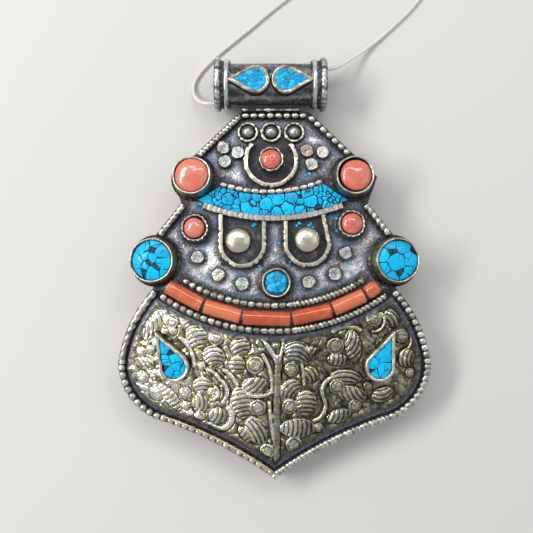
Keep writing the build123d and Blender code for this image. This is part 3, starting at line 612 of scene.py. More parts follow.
def turned(shape, place, profile, steps, around, lumps):
    """A turned shape: profile gives radius, height and wear by share, and lumps shifts a point."""

    def bent(u, v):
        angle = TURN * v
        radius, height, wear = lumps(*profile(u), angle % TURN)
        return place @ Vector((radius * math.cos(angle), radius * math.sin(angle), height)), wear, 0.0

    skin(shape, steps, around, bent)


def cabochon(shape, place, radius, foot, side, top, lumpy, seed, rubbed=1.0):
    """A stone or granule with straight sides and a domed top, rubbed there."""
    crown = []
    for index in range(9):
        angle = math.pi / 2 * index / 8
        crown.append((radius * math.cos(angle), side + (top - side) * math.sin(angle), rubbed))
    wall = [(0.0, foot, 0.0), (radius * 0.98, foot, 0.0), (radius, (foot + side) / 2, 0.2)]
    profile = through([*wall, *crown])

    def lumps(size, level, wear, angle):
        shift = ring_noise(angle, 1.2, seed) * lumpy * min(1.0, 2 * size / radius)
        return size * (1 + shift), level + shift * (level - foot), wear

    turned(shape, place, profile, 28, 48, lumps)


def shown(name, data):
    """A new object in the scene."""
    made = bpy.data.objects.new(name, data)
    scene.collection.objects.link(made)
    return made


def piece(name, shape, finishes, node=None, crease=38):
    """A finished piece at its place in the frame, in metres, in the place of a CAD node if one is named."""
    bmesh.ops.recalc_face_normals(shape, faces=shape.faces)
    bmesh.ops.scale(shape, vec=(MM, MM, MM), verts=shape.verts)
    mesh = bpy.data.meshes.new(name)
    shape.to_mesh(mesh)
    shape.free()
    for finish in finishes:
        mesh.materials.append(finish)
    mesh.polygons.foreach_set("use_smooth", [True] * len(mesh.polygons))
    mesh.set_sharp_from_angle(angle=math.radians(crease))
    made = shown(name, mesh)
    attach(made, "front_half")
    if node:
        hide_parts(node)
    return made


def added(shape, part):
    """Puts a finished part into a shape."""
    carrier = bpy.data.meshes.new("part")
    part.to_mesh(carrier)
    part.free()
    shape.from_mesh(carrier)
    bpy.data.meshes.remove(carrier)


# Finishes

class Finish:
    """A surface finish, with short ways to add its patterns. Patterns are measured in millimetres."""

    def __init__(self, name, settings):
        self.material = bpy.data.materials.new(name)
        self.material.use_nodes = True
        self.tree = self.material.node_tree
        self.shader = self.tree.nodes["Principled BSDF"]
        for socket, value in settings.items():
            self.put(value, self.shader.inputs[socket])
        self.spot = self.add("TexCoord").outputs["Object"]
        self.place = self.stretched((1.0, 1.0, 1.0))

    def add(self, kind, sockets=None):
        """A new node with its sockets filled."""
        node = self.tree.nodes.new(f"ShaderNode{kind}")
        for socket, value in (sockets or {}).items():
            self.put(value, node.inputs[socket])
        return node

    def put(self, value, socket):
        """A link where value is another node's output, and a plain value otherwise."""
        if isinstance(value, bpy.types.NodeSocket):
            self.tree.links.new(value, socket)
        else:
            socket.default_value = (*value, 1.0) if socket.type == "RGBA" else value

    def stretched(self, scale, turn=0.0):
        """Places in millimetres, drawn out or turned."""
        scales = [share / MM for share in scale]
        sockets = {"Vector": self.spot, "Scale": scales, "Rotation": (0.0, 0.0, turn)}
        return self.add("Mapping", sockets).outputs["Vector"]

    def grain(self, size, detail=3.0, place=None, twist=0.0):
        """Cloudy noise with patches about size across."""
        sockets = {"Vector": place or self.place, "Scale": 1 / size, "Detail": detail, "Distortion": twist}
        return self.add("TexNoise", sockets).outputs["Fac"]

    def cracks(self, size, place):
        """The distance to the edges of broken cells about size across."""
        node = self.add("TexVoronoi", {"Vector": place, "Scale": 1 / size})
        node.feature = "DISTANCE_TO_EDGE"
        return node.outputs["Distance"]

    def carried(self, name):
        """A value that the piece's points carry."""
        node = self.add("Attribute")
        node.attribute_name = name
        return node.outputs["Fac"]

    def sum(self, operation, first, second):
        """Two values added, multiplied or compared."""
        node = self.add("Math", {0: first, 1: second})
        node.operation = operation
        return node.outputs[0]

    def ranged(self, value, low, high, to_low=0.0, to_high=1.0):
        """A value taken from one range to another, held at its ends."""
        sockets = {"Value": value, "From Min": low, "From Max": high, "To Min": to_low, "To Max": to_high}
        return self.add("MapRange", sockets).outputs["Result"]

    def worn(self, size, low, high):
        """The wear that the points carry, made uneven by a grain that takes it down and up."""
        uneven = self.ranged(self.grain(size, 4.0), 0.3, 0.7, low, high)
        return self.sum("ADD", self.carried("wear"), uneven)

    def ramp(self, value, *stops):
        """Colours along a value: each stop is a place and a colour."""
        node = self.add("ValToRGB", {"Fac": value})
        marks = node.color_ramp.elements
        while len(marks) < len(stops):
            marks.new(0.5)
        for mark, (place, colour) in zip(marks, stops):
            mark.position = place
            mark.color = (*colour, 1.0)
        return node.outputs["Color"]

    def mixed(self, share, first, second):
        """Two colours mixed."""
        node = self.add("Mix")
        node.data_type = "RGBA"
        for index, value in ((0, share), (6, first), (7, second)):
            self.put(value, node.inputs[index])
        return node.outputs[2]

    def bump(self, height, depth, under=None):
        """Fine relief of a depth in millimetres, over another relief."""
        node = self.add("Bump", {"Height": height, "Distance": depth * MM})
        if under:
            self.put(under, node.inputs["Normal"])
        return node.outputs["Normal"]

    def dented(self, size, depth, fine, fine_depth):
        """Dents of a size and depth, with a fine grain over them."""
        return self.bump(self.grain(fine), fine_depth, self.bump(self.grain(size, 2.0), depth))

    def finish(self, colour, roughness, normal):
        """Sends the patterns to the surface."""
        for value, socket in ((colour, "Base Color"), (roughness, "Roughness"), (normal, "Normal")):
            if value is not None:
                self.put(value, self.shader.inputs[socket])
        return self.material


def oxidised_plate():
    """The face's sheet: blue-black in the corners, rubbed to silver where it stands open."""
    made = Finish("oxidised_plate", {"Metallic": 0.85})
    cloud = made.grain(2.4, 5.0, twist=0.6)
    speck = made.grain(0.32, 4.0)
    rubbed = made.sum("MULTIPLY", made.carried("wear"), made.ranged(cloud, 0.3, 0.7, 0.6, 1.2))
    rubbed = made.sum("ADD", rubbed, made.ranged(speck, 0.3, 0.72, -0.28, 0.32))
    colour = made.ramp(
        rubbed,
        (0.0, (0.045, 0.044, 0.052)),
        (0.35, (0.158, 0.16, 0.19)),
        (0.65, (0.42, 0.42, 0.437)),
        (1.0, (0.85, 0.85, 0.845)),
    )
    tarnish = made.ranged(made.grain(2.3), 0.55, 0.75, 0.0, 0.4)
    colour = made.mixed(tarnish, colour, (0.4, 0.31, 0.26))
    drift = made.grain(3.4, place=made.stretched((1.0, 1.4, 1.0), turn=0.8))
    open_metal = made.ranged(made.carried("wear"), -0.02, 0.25)
    patina = made.sum("MULTIPLY", made.ranged(drift, 0.48, 0.66, 0.0, 0.6), open_metal)
    colour = made.mixed(patina, colour, (0.13, 0.2, 0.32))
    return made.finish(colour, made.ranged(rubbed, 0.0, 0.9, 0.55, 0.36), made.dented(0.75, 0.17, 0.2, 0.08))


def case_silver():
    """Plain sheet of the back, the tray and the wall: dull silver with scratches and dark tarnish."""
    made = Finish("case_silver", {"Metallic": 0.9})
    cloud = made.grain(9.0, 5.0, twist=0.8)
    scratch = made.grain(0.5, place=made.stretched((0.05, 1.0, 1.0), turn=0.5))
    cross = made.grain(0.5, place=made.stretched((1.0, 0.06, 1.0), turn=-0.3))
    lines = made.sum("MULTIPLY", scratch, cross)
    colour = made.ramp(
        cloud, (0.25, (0.09, 0.085, 0.095)), (0.5, (0.3, 0.285, 0.28)), (0.75, (0.52, 0.5, 0.46))
    )
    colour = made.mixed(made.ranged(lines, 0.3, 0.42, 0.0, 0.5), colour, (0.68, 0.66, 0.62))
    normal = made.bump(lines, 0.03, made.bump(made.grain(2.6, 2.0), 0.12))
    return made.finish(colour, made.ranged(cloud, 0.3, 0.7, 0.5, 0.32), normal)


def worn_metal(name, dark, middle, bright, shine):
    """Cast and drawn metal that is dark in its grooves and rubbed bright on its tops."""
    made = Finish(name, {"Metallic": 0.95})
    worn = made.worn(0.7, -0.22, 0.2)
    colour = made.ramp(worn, (0.1, dark), (0.5, middle), (0.95, bright))
    return made.finish(colour, made.ranged(worn, 0.0, 1.0, 0.55, shine), made.dented(0.5, 0.05, 0.14, 0.014))


def embossed_brass():
    """Pale brass sheet: rubbed on the leaves, brown-black in the ground and blue along its edge; its wear
    also carries painted light from the left and painted shade on the right and in the creases.
    """
    made = Finish("embossed_brass", {"Metallic": 0.95})
    worn = made.worn(0.8, -0.16, 0.14)
    warm = made.ramp(
        worn,
        (0.0, (0.04, 0.037, 0.024)),
        (0.3, (0.185, 0.172, 0.095)),
        (0.6, (0.48, 0.452, 0.25)),
        (0.95, (0.98, 0.95, 0.66)),
    )
    cool = made.ramp(
        worn,
        (0.0, (0.04, 0.039, 0.035)),
        (0.3, (0.175, 0.175, 0.145)),
        (0.6, (0.45, 0.455, 0.41)),
        (0.95, (0.95, 0.96, 0.97)),
    )
    brass = made.mixed(made.ranged(made.grain(1.5), 0.4, 0.6), cool, warm)
    edge = made.ranged(made.carried("tint"), 0.0, 1.0, 1.0, 0.0)
    stain = made.ramp(made.grain(0.7, 4.0), (0.35, (0.08, 0.084, 0.13)), (0.7, (0.28, 0.3, 0.38)))
    colour = made.mixed(edge, brass, stain)
    return made.finish(colour, made.ranged(worn, 0.0, 0.8, 0.42, 0.17), made.dented(0.45, 0.07, 0.13, 0.02))


def shot_metal():
    """Flattened shot of mixed metal: silver, greenish and coppery."""
    made = Finish("shot_metal", {"Metallic": 0.9})
    alloy = made.ramp(
        made.carried("tint"),
        (0.0, (0.4, 0.39, 0.38)),
        (0.4, (0.57, 0.62, 0.6)),
        (0.65, (0.5, 0.38, 0.34)),
        (1.0, (0.76, 0.74, 0.68)),
    )
    worn = made.worn(0.5, -0.5, 0.1)
    colour = made.mixed(made.ranged(worn, 0.1, 0.85), (0.03, 0.028, 0.03), alloy)
    return made.finish(colour, made.ranged(worn, 0.0, 1.0, 0.6, 0.38), made.bump(made.grain(0.4), 0.2))


def coral(name, pale, deep, gloss):
    """Polished coral: clouded red-orange with dark pores."""
    settings = {
        "Specular IOR Level": 0.3,
        "Subsurface Weight": 0.12,
        "Subsurface Radius": (0.9, 0.3, 0.2),
        "Subsurface Scale": 0.6 * MM,
        "Coat Weight": 1.0,
        "Coat Roughness": 0.04,
    }
    made = Finish(name, settings)
    cloud = made.grain(2.2, 4.0, twist=0.7)
    pore = made.ranged(made.grain(0.16, 2.0), 0.62, 0.74, 0.0, 0.35)
    tone = made.sum("ADD", made.ranged(cloud, 0.32, 0.7), made.carried("tint"))
    colour = made.mixed(tone, deep, pale)
    colour = made.mixed(pore, colour, [share * 0.45 for share in deep])
    roughness = made.ranged(cloud, 0.3, 0.7, gloss, gloss + 0.12)
    return made.finish(colour, roughness, made.bump(made.grain(0.5), 0.012))


def turquoise_chips():
    """Polished turquoise chips, each of its own blue, with fine dark matrix."""
    made = Finish("turquoise_chips", {"Specular IOR Level": 0.2, "Coat Weight": 0.2, "Coat Roughness": 0.08})
    blue = made.ramp(
        made.carried("tint"), (0.0, (0.0, 0.36, 0.68)), (0.45, (0.0, 0.47, 0.86)), (1.0, (0.0, 0.55, 0.92))
    )
    blue = made.mixed(made.ranged(made.grain(0.9, 4.0), 0.4, 0.75, 0.0, 0.45), blue, (0.01, 0.44, 0.66))
    vein = made.cracks(1.5, made.stretched((1.0, 0.7, 1.0), turn=0.6))
    mask = made.ranged(made.grain(1.7), 0.44, 0.56)
    crack = made.sum("MULTIPLY", made.ranged(vein, 0.0, 0.06, 1.0, 0.0), mask)
    speck = made.ranged(made.grain(0.3), 0.66, 0.72, 0.0, 0.7)
    dark = made.sum("MAXIMUM", crack, speck)
    colour = made.mixed(dark, blue, (0.02, 0.014, 0.014))
    return made.finish(colour, made.ranged(dark, 0.0, 1.0, 0.38, 0.6), made.bump(made.grain(0.35), 0.025))


def crushed_turquoise():
    """Crushed turquoise set in resin: small grains of many blues between dark specks."""
    made = Finish("crushed_turquoise", {"Specular IOR Level": 0.3, "Roughness": 0.42})
    blue = made.ramp(
        made.carried("tint"), (0.0, (0.0, 0.3, 0.6)), (0.5, (0.0, 0.45, 0.84)), (1.0, (0.03, 0.57, 0.9))
    )
    dark = made.ranged(made.carried("wear"), 0.06, 0.24, 0.9, 0.0)
    fleck = made.ranged(made.grain(0.75, 4.0), 0.61, 0.69)
    colour = made.mixed(made.sum("MAXIMUM", dark, fleck), blue, (0.025, 0.018, 0.024))
    return made.finish(colour, None, made.bump(made.grain(0.2), 0.04))


def dark_resin():
    """Brown-black resin between the stones, with blue dust in it."""
    made = Finish("dark_resin", {"Specular IOR Level": 0.12, "Roughness": 0.65})
    dust = made.ranged(made.grain(0.35, 4.0), 0.46, 0.6, 0.0, 0.45)
    cloud = made.ranged(made.grain(1.3), 0.3, 0.7)
    colour = made.mixed(cloud, (0.012, 0.01, 0.014), (0.05, 0.036, 0.034))
    colour = made.mixed(dust, colour, (0.01, 0.26, 0.45))
    return made.finish(colour, None, made.bump(made.grain(0.25, 4.0), 0.08))


def clear_nylon():
    """Clear thread, slightly milky."""
    settings = {"Transmission Weight": 0.4, "IOR": 1.53, "Base Color": (0.93, 0.91, 0.92)}
    made = Finish("clear_nylon", settings)
    rub = made.grain(0.6)
    return made.finish(None, made.ranged(rub, 0.3, 0.7, 0.1, 0.3), made.bump(rub, 0.01))


PLATE = oxidised_plate()
CASE = case_silver()
SILVER = worn_metal("worn_silver", (0.09, 0.088, 0.088), (0.36, 0.345, 0.31), (0.79, 0.775, 0.7), 0.25)
DARK_SILVER = worn_metal("dark_silver", (0.05, 0.05, 0.057), (0.225, 0.225, 0.243), (0.6, 0.6, 0.6), 0.3)
COLLAR_SILVER = worn_metal("collar_silver", (0.05, 0.05, 0.052), (0.31, 0.31, 0.31), (0.8, 0.82, 0.83), 0.25)
BEZEL_METAL = worn_metal("bezel_metal", (0.04, 0.037, 0.03), (0.28, 0.265, 0.21), (0.72, 0.7, 0.6), 0.3)
POLISHED_BRASS = worn_metal("polished_brass", (0.05, 0.046, 0.03), (0.33, 0.32, 0.23), (0.64, 0.63, 0.5), 0.3)
PALE_BRASS = worn_metal("pale_brass", (0.06, 0.055, 0.04), (0.36, 0.34, 0.25), (0.88, 0.85, 0.69), 0.28)
GILT = worn_metal("gilt_wire", (0.08, 0.065, 0.025), (0.52, 0.45, 0.2), (0.97, 0.86, 0.48), 0.25)
BRASS = embossed_brass()
SHOT_METAL = shot_metal()
CORAL = coral("coral_cabochon", (0.7, 0.195, 0.145), (0.56, 0.12, 0.08), 0.2)
CORAL_TUBE = coral("coral_tube", (0.66, 0.175, 0.075), (0.48, 0.075, 0.02), 0.16)
TURQUOISE = turquoise_chips()
CRUSHED = crushed_turquoise()
RESIN = dark_resin()
NYLON = clear_nylon()


# The case

def front_plate():
    """The domed sheet: hammered a little, dark round everything that is soldered on it."""
    rows = [point for edge in RIGHT_SIDE[:-1] for point in edge[::2]] + RIGHT_SIDE[-1]
    applied = [(*place, radius + 0.4) for place, radius, *_ in BEZELS.values()]
    applied += [(x, y, SHOT_RADIUS) for shot in SHOT.values() for x, y, _ in shot]
    applied += [(*place, RING_RADIUS) for place in RINGS]
    rims = [moved_in(edge, RIM_WIRE) for edge in RIGHT_SIDE]
    lines = [*rims, *(mirrored(rim) for rim in rims), moved_in(TOP_EDGE, RIM_WIRE)]
    lines += [arc_through(*MOSAIC_UPPER), arc_through(*MOSAIC_LOWER)]
    lines += [channel_line(radius, length) for radius, length in CHANNEL_WIRES.values()]
    lines += [horseshoe_line(), u_line(U_LEFT, 0.0), u_line(U_RIGHT, U_RIGHT_LEAN)]
    finder = near_points(lines)
    framed = ((*U_LEFT, U_RADIUS), (*U_RIGHT, U_RADIUS), (*HORSESHOE, HORSESHOE_RADIUS))

    def place(u, v):
        row = rows[round(u * (len(rows) - 1))]
        x, y = row.x * (2 * v - 1), row.y
        gap = gap_to(finder, x, y) - RIM_WIRE
        for cx, cy, radius in applied:
            gap = min(gap, math.hypot(x - cx, y - cy) - radius)
        lower = held((12 - y) / 4)
        rub = max(math.exp(-((x - cx) ** 2 + (y - cy) ** 2) / radius**2) for cx, cy, radius in RUBBED)
        open_metal = held(gap / SHADE_REACH) * (0.52 + 0.22 * lower + 0.5 * rub)
        for cx, cy, radius in framed:
            if abs(x - cx) < radius and -radius < y - cy < radius + 1.2:
                open_metal = 0.4 * open_metal - 0.2
        dent = SHEET_DENT * (waver(x * 0.35, y * 0.35, 3.0) - 1)
        return on_dome(x, y, dent), open_metal, 0.0

    shape = new_shape()
    skin(shape, len(rows) - 1, 110, place)
    bmesh.ops.recalc_face_normals(shape, faces=shape.faces)
    bmesh.ops.solidify(shape, geom=shape.faces[:], thickness=SHEET_THICKNESS)
    piece("domed_face", shape, [PLATE], "front_plate")


def gilt_edge(shape, points):
    """A plain gilt wire over the inner side of the beads, on the left of the tip."""
    line = Run(points, GILT_HEIGHT)

    def at(distance):
        spot, side, out = line.at(distance)
        inward = side if side.y > 0 else -side
        return spot + inward * GILT_INSET, side, out

    def size(distance, angle):
        worn = waver(distance * 0.7, 2.0, 8.0)
        return GILT_RADIUS * (1 + 0.3 * worn), 0.75 + 0.5 * worn

    wire(shape, at, line.length, size, round(line.length / LINE_STEP), finish=1)


def rim_wires():
    """Beaded and twisted wires round the three tiers: each stretch has a pitch, groove, starts and radius."""
    left_tip = mirrored(TIP_EDGE)
    tiers = {
        "upper": (
            (mirrored(SLOPE), 0.95, 0.62, 1, 0.8),
            (TOP_EDGE, 1.72, 0.2, 0, 0.7),
            (SLOPE, 1.68, 0.25, 0, 0.72),
        ),
        "middle": (
            (mirrored(FLANK), 1.2, 0.6, 2, 0.78),
            (FLANK, 1.35, 0.5, 1, 0.78),
        ),
        "lower": (
            (FLARE, 1.5, 0.42, 0, 0.85),
            (CORNER_EDGE, 1.3, 0.45, 1, 0.85),
            (TIP_EDGE, 0.95, 0.7, 1, 0.82),
            (left_tip, 1.6, 0.5, 0, 0.85),
            (mirrored(CORNER_EDGE), 1.65, 0.45, 0, 0.85),
            (mirrored(FLARE), 2.0, 0.6, 2, 0.85),
        ),
    }
    for tier, stretches in tiers.items():
        shape = new_shape()
        edges = [stretch[0] for stretch in stretches]
        for edge, pitch, groove, starts, radius in stretches:
            line = Run(rim_line(edge, edges), radius)
            beaded(shape, line, radius, pitch, groove, starts, kept=0.32 if starts else 0.15)
        if tier == "lower":
            gilt_edge(shape, rim_line(left_tip, edges))
            cabochon(shape, seat(*TIP_BEAD), RIM_WIRE, 0.1, 0.7, 1.55, 0.05, 2.0, 0.8)
        piece(f"rim_beads_{tier}", shape, [SILVER, GILT], f"rim_wire_{tier}", crease=60)


# Coral channel

def channel_point(radius, angle):
    """A flat point on the channel's circles, by its angle from straight down."""
    x, y = CHANNEL_CENTRE
    return Vector((x + radius * math.sin(angle), y - radius * math.cos(angle)))


def channel_line(radius, length):
    """Flat points along one of the channel's circles."""
    count = math.ceil(length / LINE_STEP)
    return [channel_point(radius, (index / count - 0.5) * length / radius) for index in range(count + 1)]


def channel_wires():
    """The two wires that hold the coral, beaded on the left and twisted on the right."""
    for name, (radius, length) in CHANNEL_WIRES.items():
        shape = new_shape()
        points = channel_line(radius, length)
        turn = round(CHANNEL_BEADED * len(points))
        beaded(shape, Run(points[: turn + 2], CHANNEL_WIRE), CHANNEL_WIRE, 1.6, 0.62, kept=0.1)
        beaded(shape, Run(points[turn:], CHANNEL_WIRE), CHANNEL_WIRE, 0.95, 0.6, 1, kept=0.1)
        node = f"channel_wire_{name}"
        piece(f"channel_twist_{name}", shape, [BEZEL_METAL], node, crease=60)


def coral_tubes():
    """The row of coral tubes, each with softened ends and a flat bed."""
    total = sum(TUBE_LENGTHS) + TUBE_GAP * (len(TUBE_LENGTHS) - 1)
    angle = -total / 2 / TUBE_LINE
    for index, length in enumerate(TUBE_LENGTHS):
        half = length / 2
        angle += half / TUBE_LINE
        spot = channel_point(TUBE_LINE, angle)
        bed = seat(spot.x, spot.y, turn=math.degrees(angle))
        soft = 0.8 if length < SHORT_TUBE else 0.28
        rim = TUBE_RADIUS - soft
        end = [
            (0.0, half),
            (rim * 0.6, half),
            (rim, half),
            (TUBE_RADIUS - 0.25 * soft, half - 0.25 * soft),
            (TUBE_RADIUS, half - soft),
            (TUBE_RADIUS + 0.02, half * 0.3),
        ]
        profile = through([(radius, -along) for radius, along in end] + end[::-1])

        def place(u, v):
            radius, along = profile(u)
            around = TURN * v
            radius += 0.05 * waver(along * 0.5, math.cos(around), index * 4.0)
            height = TUBE_RADIUS - TUBE_BED + radius * math.sin(around)
            point = Vector((along, radius * math.cos(around), max(0.02, height)))
            return bed @ point, 0.0, TUBE_TONES[index]

        shape = new_shape()
        skin(shape, 44, 36, place)
        piece(f"coral_tube_{index + 1}", shape, [CORAL_TUBE], f"coral_bead_{index + 1}", crease=50)
        angle += (half + TUBE_GAP) / TUBE_LINE


# Stones in round bezels

def round_bezel(name, place, radius, height, wall, flare, teeth):
    """A cup of sheet metal, pressed unevenly over its stone."""
    inner = radius - wall
    seed = place[0] * 0.7 + place[1]
    profile = through([
        (0.0, 0.0, 0.0),
        (radius + flare, 0.0, 0.0),
        (radius + 0.55 * flare, 0.14 * height, 0.2),
        (radius + 0.1 * flare, 0.45 * height, 0.42),
        (radius - 0.15 * wall, 0.8 * height, 0.5),
        (radius - 0.32 * wall, 0.96 * height, 0.66),
        (radius - 0.55 * wall, height, 0.8),
        (inner + 0.04, height - 0.1, 0.5),
        (inner - 0.02, height - 0.4, 0.0),
        (inner, BEZEL_FLOOR, 0.0),
        (0.0, BEZEL_FLOOR, 0.0),
    ])

    def lumps(size, level, wear, angle):
        share = held(level / height) * (size > 0.5 * inner)
        size += 0.13 * share * ring_noise(angle, 1.6, seed)
        level += 0.16 * share * ring_noise(angle, 1.3, seed + 9)
        if teeth and size > inner:
            tooth = abs(math.sin(teeth * angle / 2))
            size += 0.17 * share * (tooth - 0.5)
            wear *= 0.45 + 0.55 * tooth
        return size, level, wear + 0.2 * share * ring_noise(angle, 2.5, seed + 4)

    shape = new_shape()
    turned(shape, seat(*place), profile, 60, 96 if teeth else 64, lumps)
    finish = SILVER if teeth else BEZEL_METAL
    piece(f"{name}_cup", shape, [finish], f"{name}_bezel", crease=60)


def coral_stones():
    """The coral cabochons, set a little off the middle of their cups."""
    for name, (shift, fit, tone) in CORAL_FITS.items():
        (x, y), radius, height, wall, _, _ = BEZELS[name]
        shape = new_shape()
        size = (radius - wall - 0.06) * fit
        top = height + STONE_CROWN
        cabochon(shape, seat(x + shift, y), size, BEZEL_FLOOR + 0.02, height - 0.5, top, 0.025, x)
        painted(shape, tone)
        piece(f"{name}_cabochon", shape, [CORAL], f"{name}_stone")


# Stones cut from chips

def backed(shape, lower):
    """Closes a sheet on its underside: lower gives the place under a point."""
    made = bmesh.ops.extrude_face_region(shape, geom=shape.faces[:])["geom"]
    for item in made:
        if isinstance(item, bmesh.types.BMVert):
            item.co = lower(item.co)


def cut_across(chip, point, away, trim):
    """Cuts a chip along a line, and trims off what lies past it."""
    everything = chip.verts[:] + chip.edges[:] + chip.faces[:]
    bmesh.ops.bisect_plane(
        chip, geom=everything, plane_co=(*point, 0.0), plane_no=(*away, 0.0), clear_outer=trim
    )


def trimmed_chip(corners, cuts, rise, tint, bend=0.0):
    """A chip: an outline trimmed by cuts, raised and softened, with cross lines to bend along."""
    chip = new_shape()
    made = bmesh.ops.create_circle(chip, cap_ends=True, segments=len(corners), radius=1.0)["verts"]
    for vert, corner in zip(made, corners):
        vert.co = (corner[0], corner[1], 0.0)
    for point, away in cuts:
        cut_across(chip, point, away, True)
    if not chip.faces or chip.faces[:][0].calc_area() < LEAST_CHIP:
        chip.free()
        return None
    bmesh.ops.remove_doubles(chip, verts=chip.verts, dist=0.04)
    raised = bmesh.ops.extrude_face_region(chip, geom=chip.faces[:])["geom"]
    top = [item for item in raised if isinstance(item, bmesh.types.BMVert)]
    bmesh.ops.translate(chip, vec=(0.0, 0.0, rise), verts=top)
    upper = [edge for edge in chip.edges if all(vert in top for vert in edge.verts)]
    bmesh.ops.bevel(
        chip, geom=upper, offset=CHIP_BEVEL, segments=2, profile=0.5, affect="EDGES", material=-1
    )
    if bend:
        for line in range(-4, 5):
            cut_across(chip, (line * bend, 0.0), (1.0, 0.0), False)
            cut_across(chip, (0.0, line * bend), (0.0, 1.0), False)
    painted(chip, tint)
    return chip


def seeds_of(rows):
    """Seeds of chips or holes: each a flat point and a size."""
    return [(Vector((x, y)), size) for x, y, size in rows]


def between(seed, size, others, draw, gap):
    """The cuts between a chip's seed and those around it, nearer to the smaller chip."""
    cuts = []
    for other, other_size in others:
        way = other - seed
        if 0.001 < way.length < 8:
            reach = (way.length_squared + size**2 - other_size**2) / (2 * way.length)
            away = Matrix.Rotation(draw.uniform(-0.1, 0.1), 2) @ way.normalized()
            seam = gap * (0.08 + 0.92 * draw.random() ** 1.6)
            cuts.append((seed + way.normalized() * (reach - seam), away))
    return cuts


def inlay(shape, corners, seeds, holes, gap, rise, spread, lay, draw, extra_cuts=None, bend=0.0):
    """Chips round some holes, one from each seed: corners gives its outline, and lay its place."""
    for seed, size in seeds:
        cuts = between(seed, size, [*seeds, *holes], draw, gap)
        if extra_cuts:
            cuts += extra_cuts(seed)
        height = rise * draw.uniform(1 - spread, 1 + spread)
        chip = trimmed_chip(corners(seed), cuts, height, draw.random(), bend)
        if not chip:
            continue
        tilt = Vector((draw.uniform(-1, 1), draw.uniform(-1, 1))) * 0.04
        for vert in chip.verts:
            lean = tilt.x * (vert.co.x - seed.x) + tilt.y * (vert.co.y - seed.y)
            vert.co = lay(vert.co.x, vert.co.y, vert.co.z + (lean if vert.co.z > 0.05 else 0.0))
        for face in chip.faces:
            face.material_index = 1
        added(shape, chip)


def ring_corners(radius, count=40):
    """Corners round a circle."""
    return [(radius * math.cos(TURN * k / count), radius * math.sin(TURN * k / count)) for k in range(count)]


def chip_stone(name, bed, outline, round_steps, resin, dome, gap, rise, draw, bend=0.0):
    """A stone of broken chips in dark resin: resin gives the resin's skin, and dome a place over the bed."""
    shape = new_shape()
    skin(shape, round_steps, 48, resin)
    backed(shape, lambda point: point - bed.col[2].to_3d() * 0.3)
    chips, holes = seeds_of(CHIPS[name]), seeds_of(HOLES[name])
    inlay(shape, lambda seed: outline, chips, holes, gap, rise, 0.1, dome, draw, bend=bend)
    piece(f"{name}_chips", shape, [RESIN, TURQUOISE], f"{name}_stone", crease=30)


def chip_cabochon(name, number):
    """A round stone of broken chips, with holes of dark resin between them."""
    place, radius, height, wall, _, _ = BEZELS[name]
    size = radius - wall - 0.05
    bed = seat(*place)
    crown = height + STONE_CROWN - 0.1
    side = height - 0.35

    def dome(x, y, level):
        share = min(1.0, math.hypot(x, y) / size)
        top = side + (crown - side) * (1 - share**2)
        return bed @ Vector((x, y, top - 0.42 + level))

    def resin(u, v):
        reach, angle = size * u, TURN * v
        return dome(reach * math.cos(angle), reach * math.sin(angle), 0.12), 0.0, 0.0

    draw = random.Random(number)
    chip_stone(name, bed, ring_corners(size - 0.02), 16, resin, dome, 0.13, 0.42, draw, bend=0.9)


def drop_point(share, radius, tip):
    """A point round a drop, by the share of the way from its tip, clockwise, back to its tip."""
    lean = math.acos(radius / tip)
    straight_part = math.sqrt(tip**2 - radius**2)
    curved = radius * (TURN - 2 * lean)
    distance = share * (2 * straight_part + curved)
    touch = Vector((radius * math.sin(lean), radius * math.cos(lean)))
    point = Vector((0.0, tip))
    if distance < straight_part:
        return point.lerp(touch, distance / straight_part)
    if distance > straight_part + curved:
        return Vector((-touch.x, touch.y)).lerp(point, (distance - straight_part - curved) / straight_part)
    angle = lean + (distance - straight_part) / radius
    return Vector((radius * math.sin(angle), radius * math.cos(angle)))


def drop_cup(name, sizes, floor, top, lay, seed, rubbed=1.0):
    """A bezel bent round a drop: floor gives its lower level at a flat point, and top its upper level."""
    radius, tip, wall = sizes
    profile = through([
        (-0.6, 0.0, 0.0),
        (wall + 0.12, 0.0, 0.0),
        (wall, 0.35, 0.2),
        (wall, 0.85, 0.6),
        (wall * 0.75, 1.0, 1.0),
        (wall * 0.3, 1.0, 1.0),
        (0.0, 0.93, 0.8),
        (-0.03, 0.6, 0.0),
        (-0.6, 0.3, 0.0),
    ])

    def place(u, v):
        offset, level, wear = profile(u)
        near_tip = min(1.0, min(v, 1 - v) * 8)
        offset += 0.17 * waver(v * 14, seed, 0.0) * near_tip * max(0.0, level)
        wear *= rubbed * (1 + 0.7 * waver(v * 9, seed, 4.0))
        point = drop_point(v, radius, tip) * ((radius + offset) / radius)
        low = floor(point)
        high = top + 0.12 * waver(point.x, point.y, seed) * level
        return lay(point.x, point.y, low + (high - low) * level), wear, 0.0

    shape = new_shape()
    skin(shape, 40, 88, place)
    piece(f"{name}_cup", shape, [BEZEL_METAL], f"{name}_bezel", crease=60)


def panel_drops():
    """The turquoise drops on the embossed panel, each of a few large chips."""
    radius, tip, _ = PANEL_DROP
    outline = [drop_point(k / 48, radius - 0.03, tip - 0.15) for k in range(48)]
    for number, (name, (place, turn)) in enumerate(PANEL_DROPS.items()):
        bed = seat(*place, turn=turn, height=PANEL_THICKNESS)

        def lay(x, y, level):
            return bed @ Vector((x, y, level))

        def dome(x, y, level):
            return lay(x, y, PANEL_DROP_HEIGHT - 0.75 + level - 0.02 * (x * x + (y - 1) ** 2 * 0.3))

        def resin(u, v):
            point = drop_point(v, radius, tip) * u
            return dome(point.x, point.y, 0.1), 0.0, 0.0

        drop_cup(name, PANEL_DROP, lambda point: -0.45, PANEL_DROP_HEIGHT, lay, number * 5.0)
        chip_stone(name, bed, outline, 12, resin, dome, 0.12, 0.45, random.Random(number + 40))


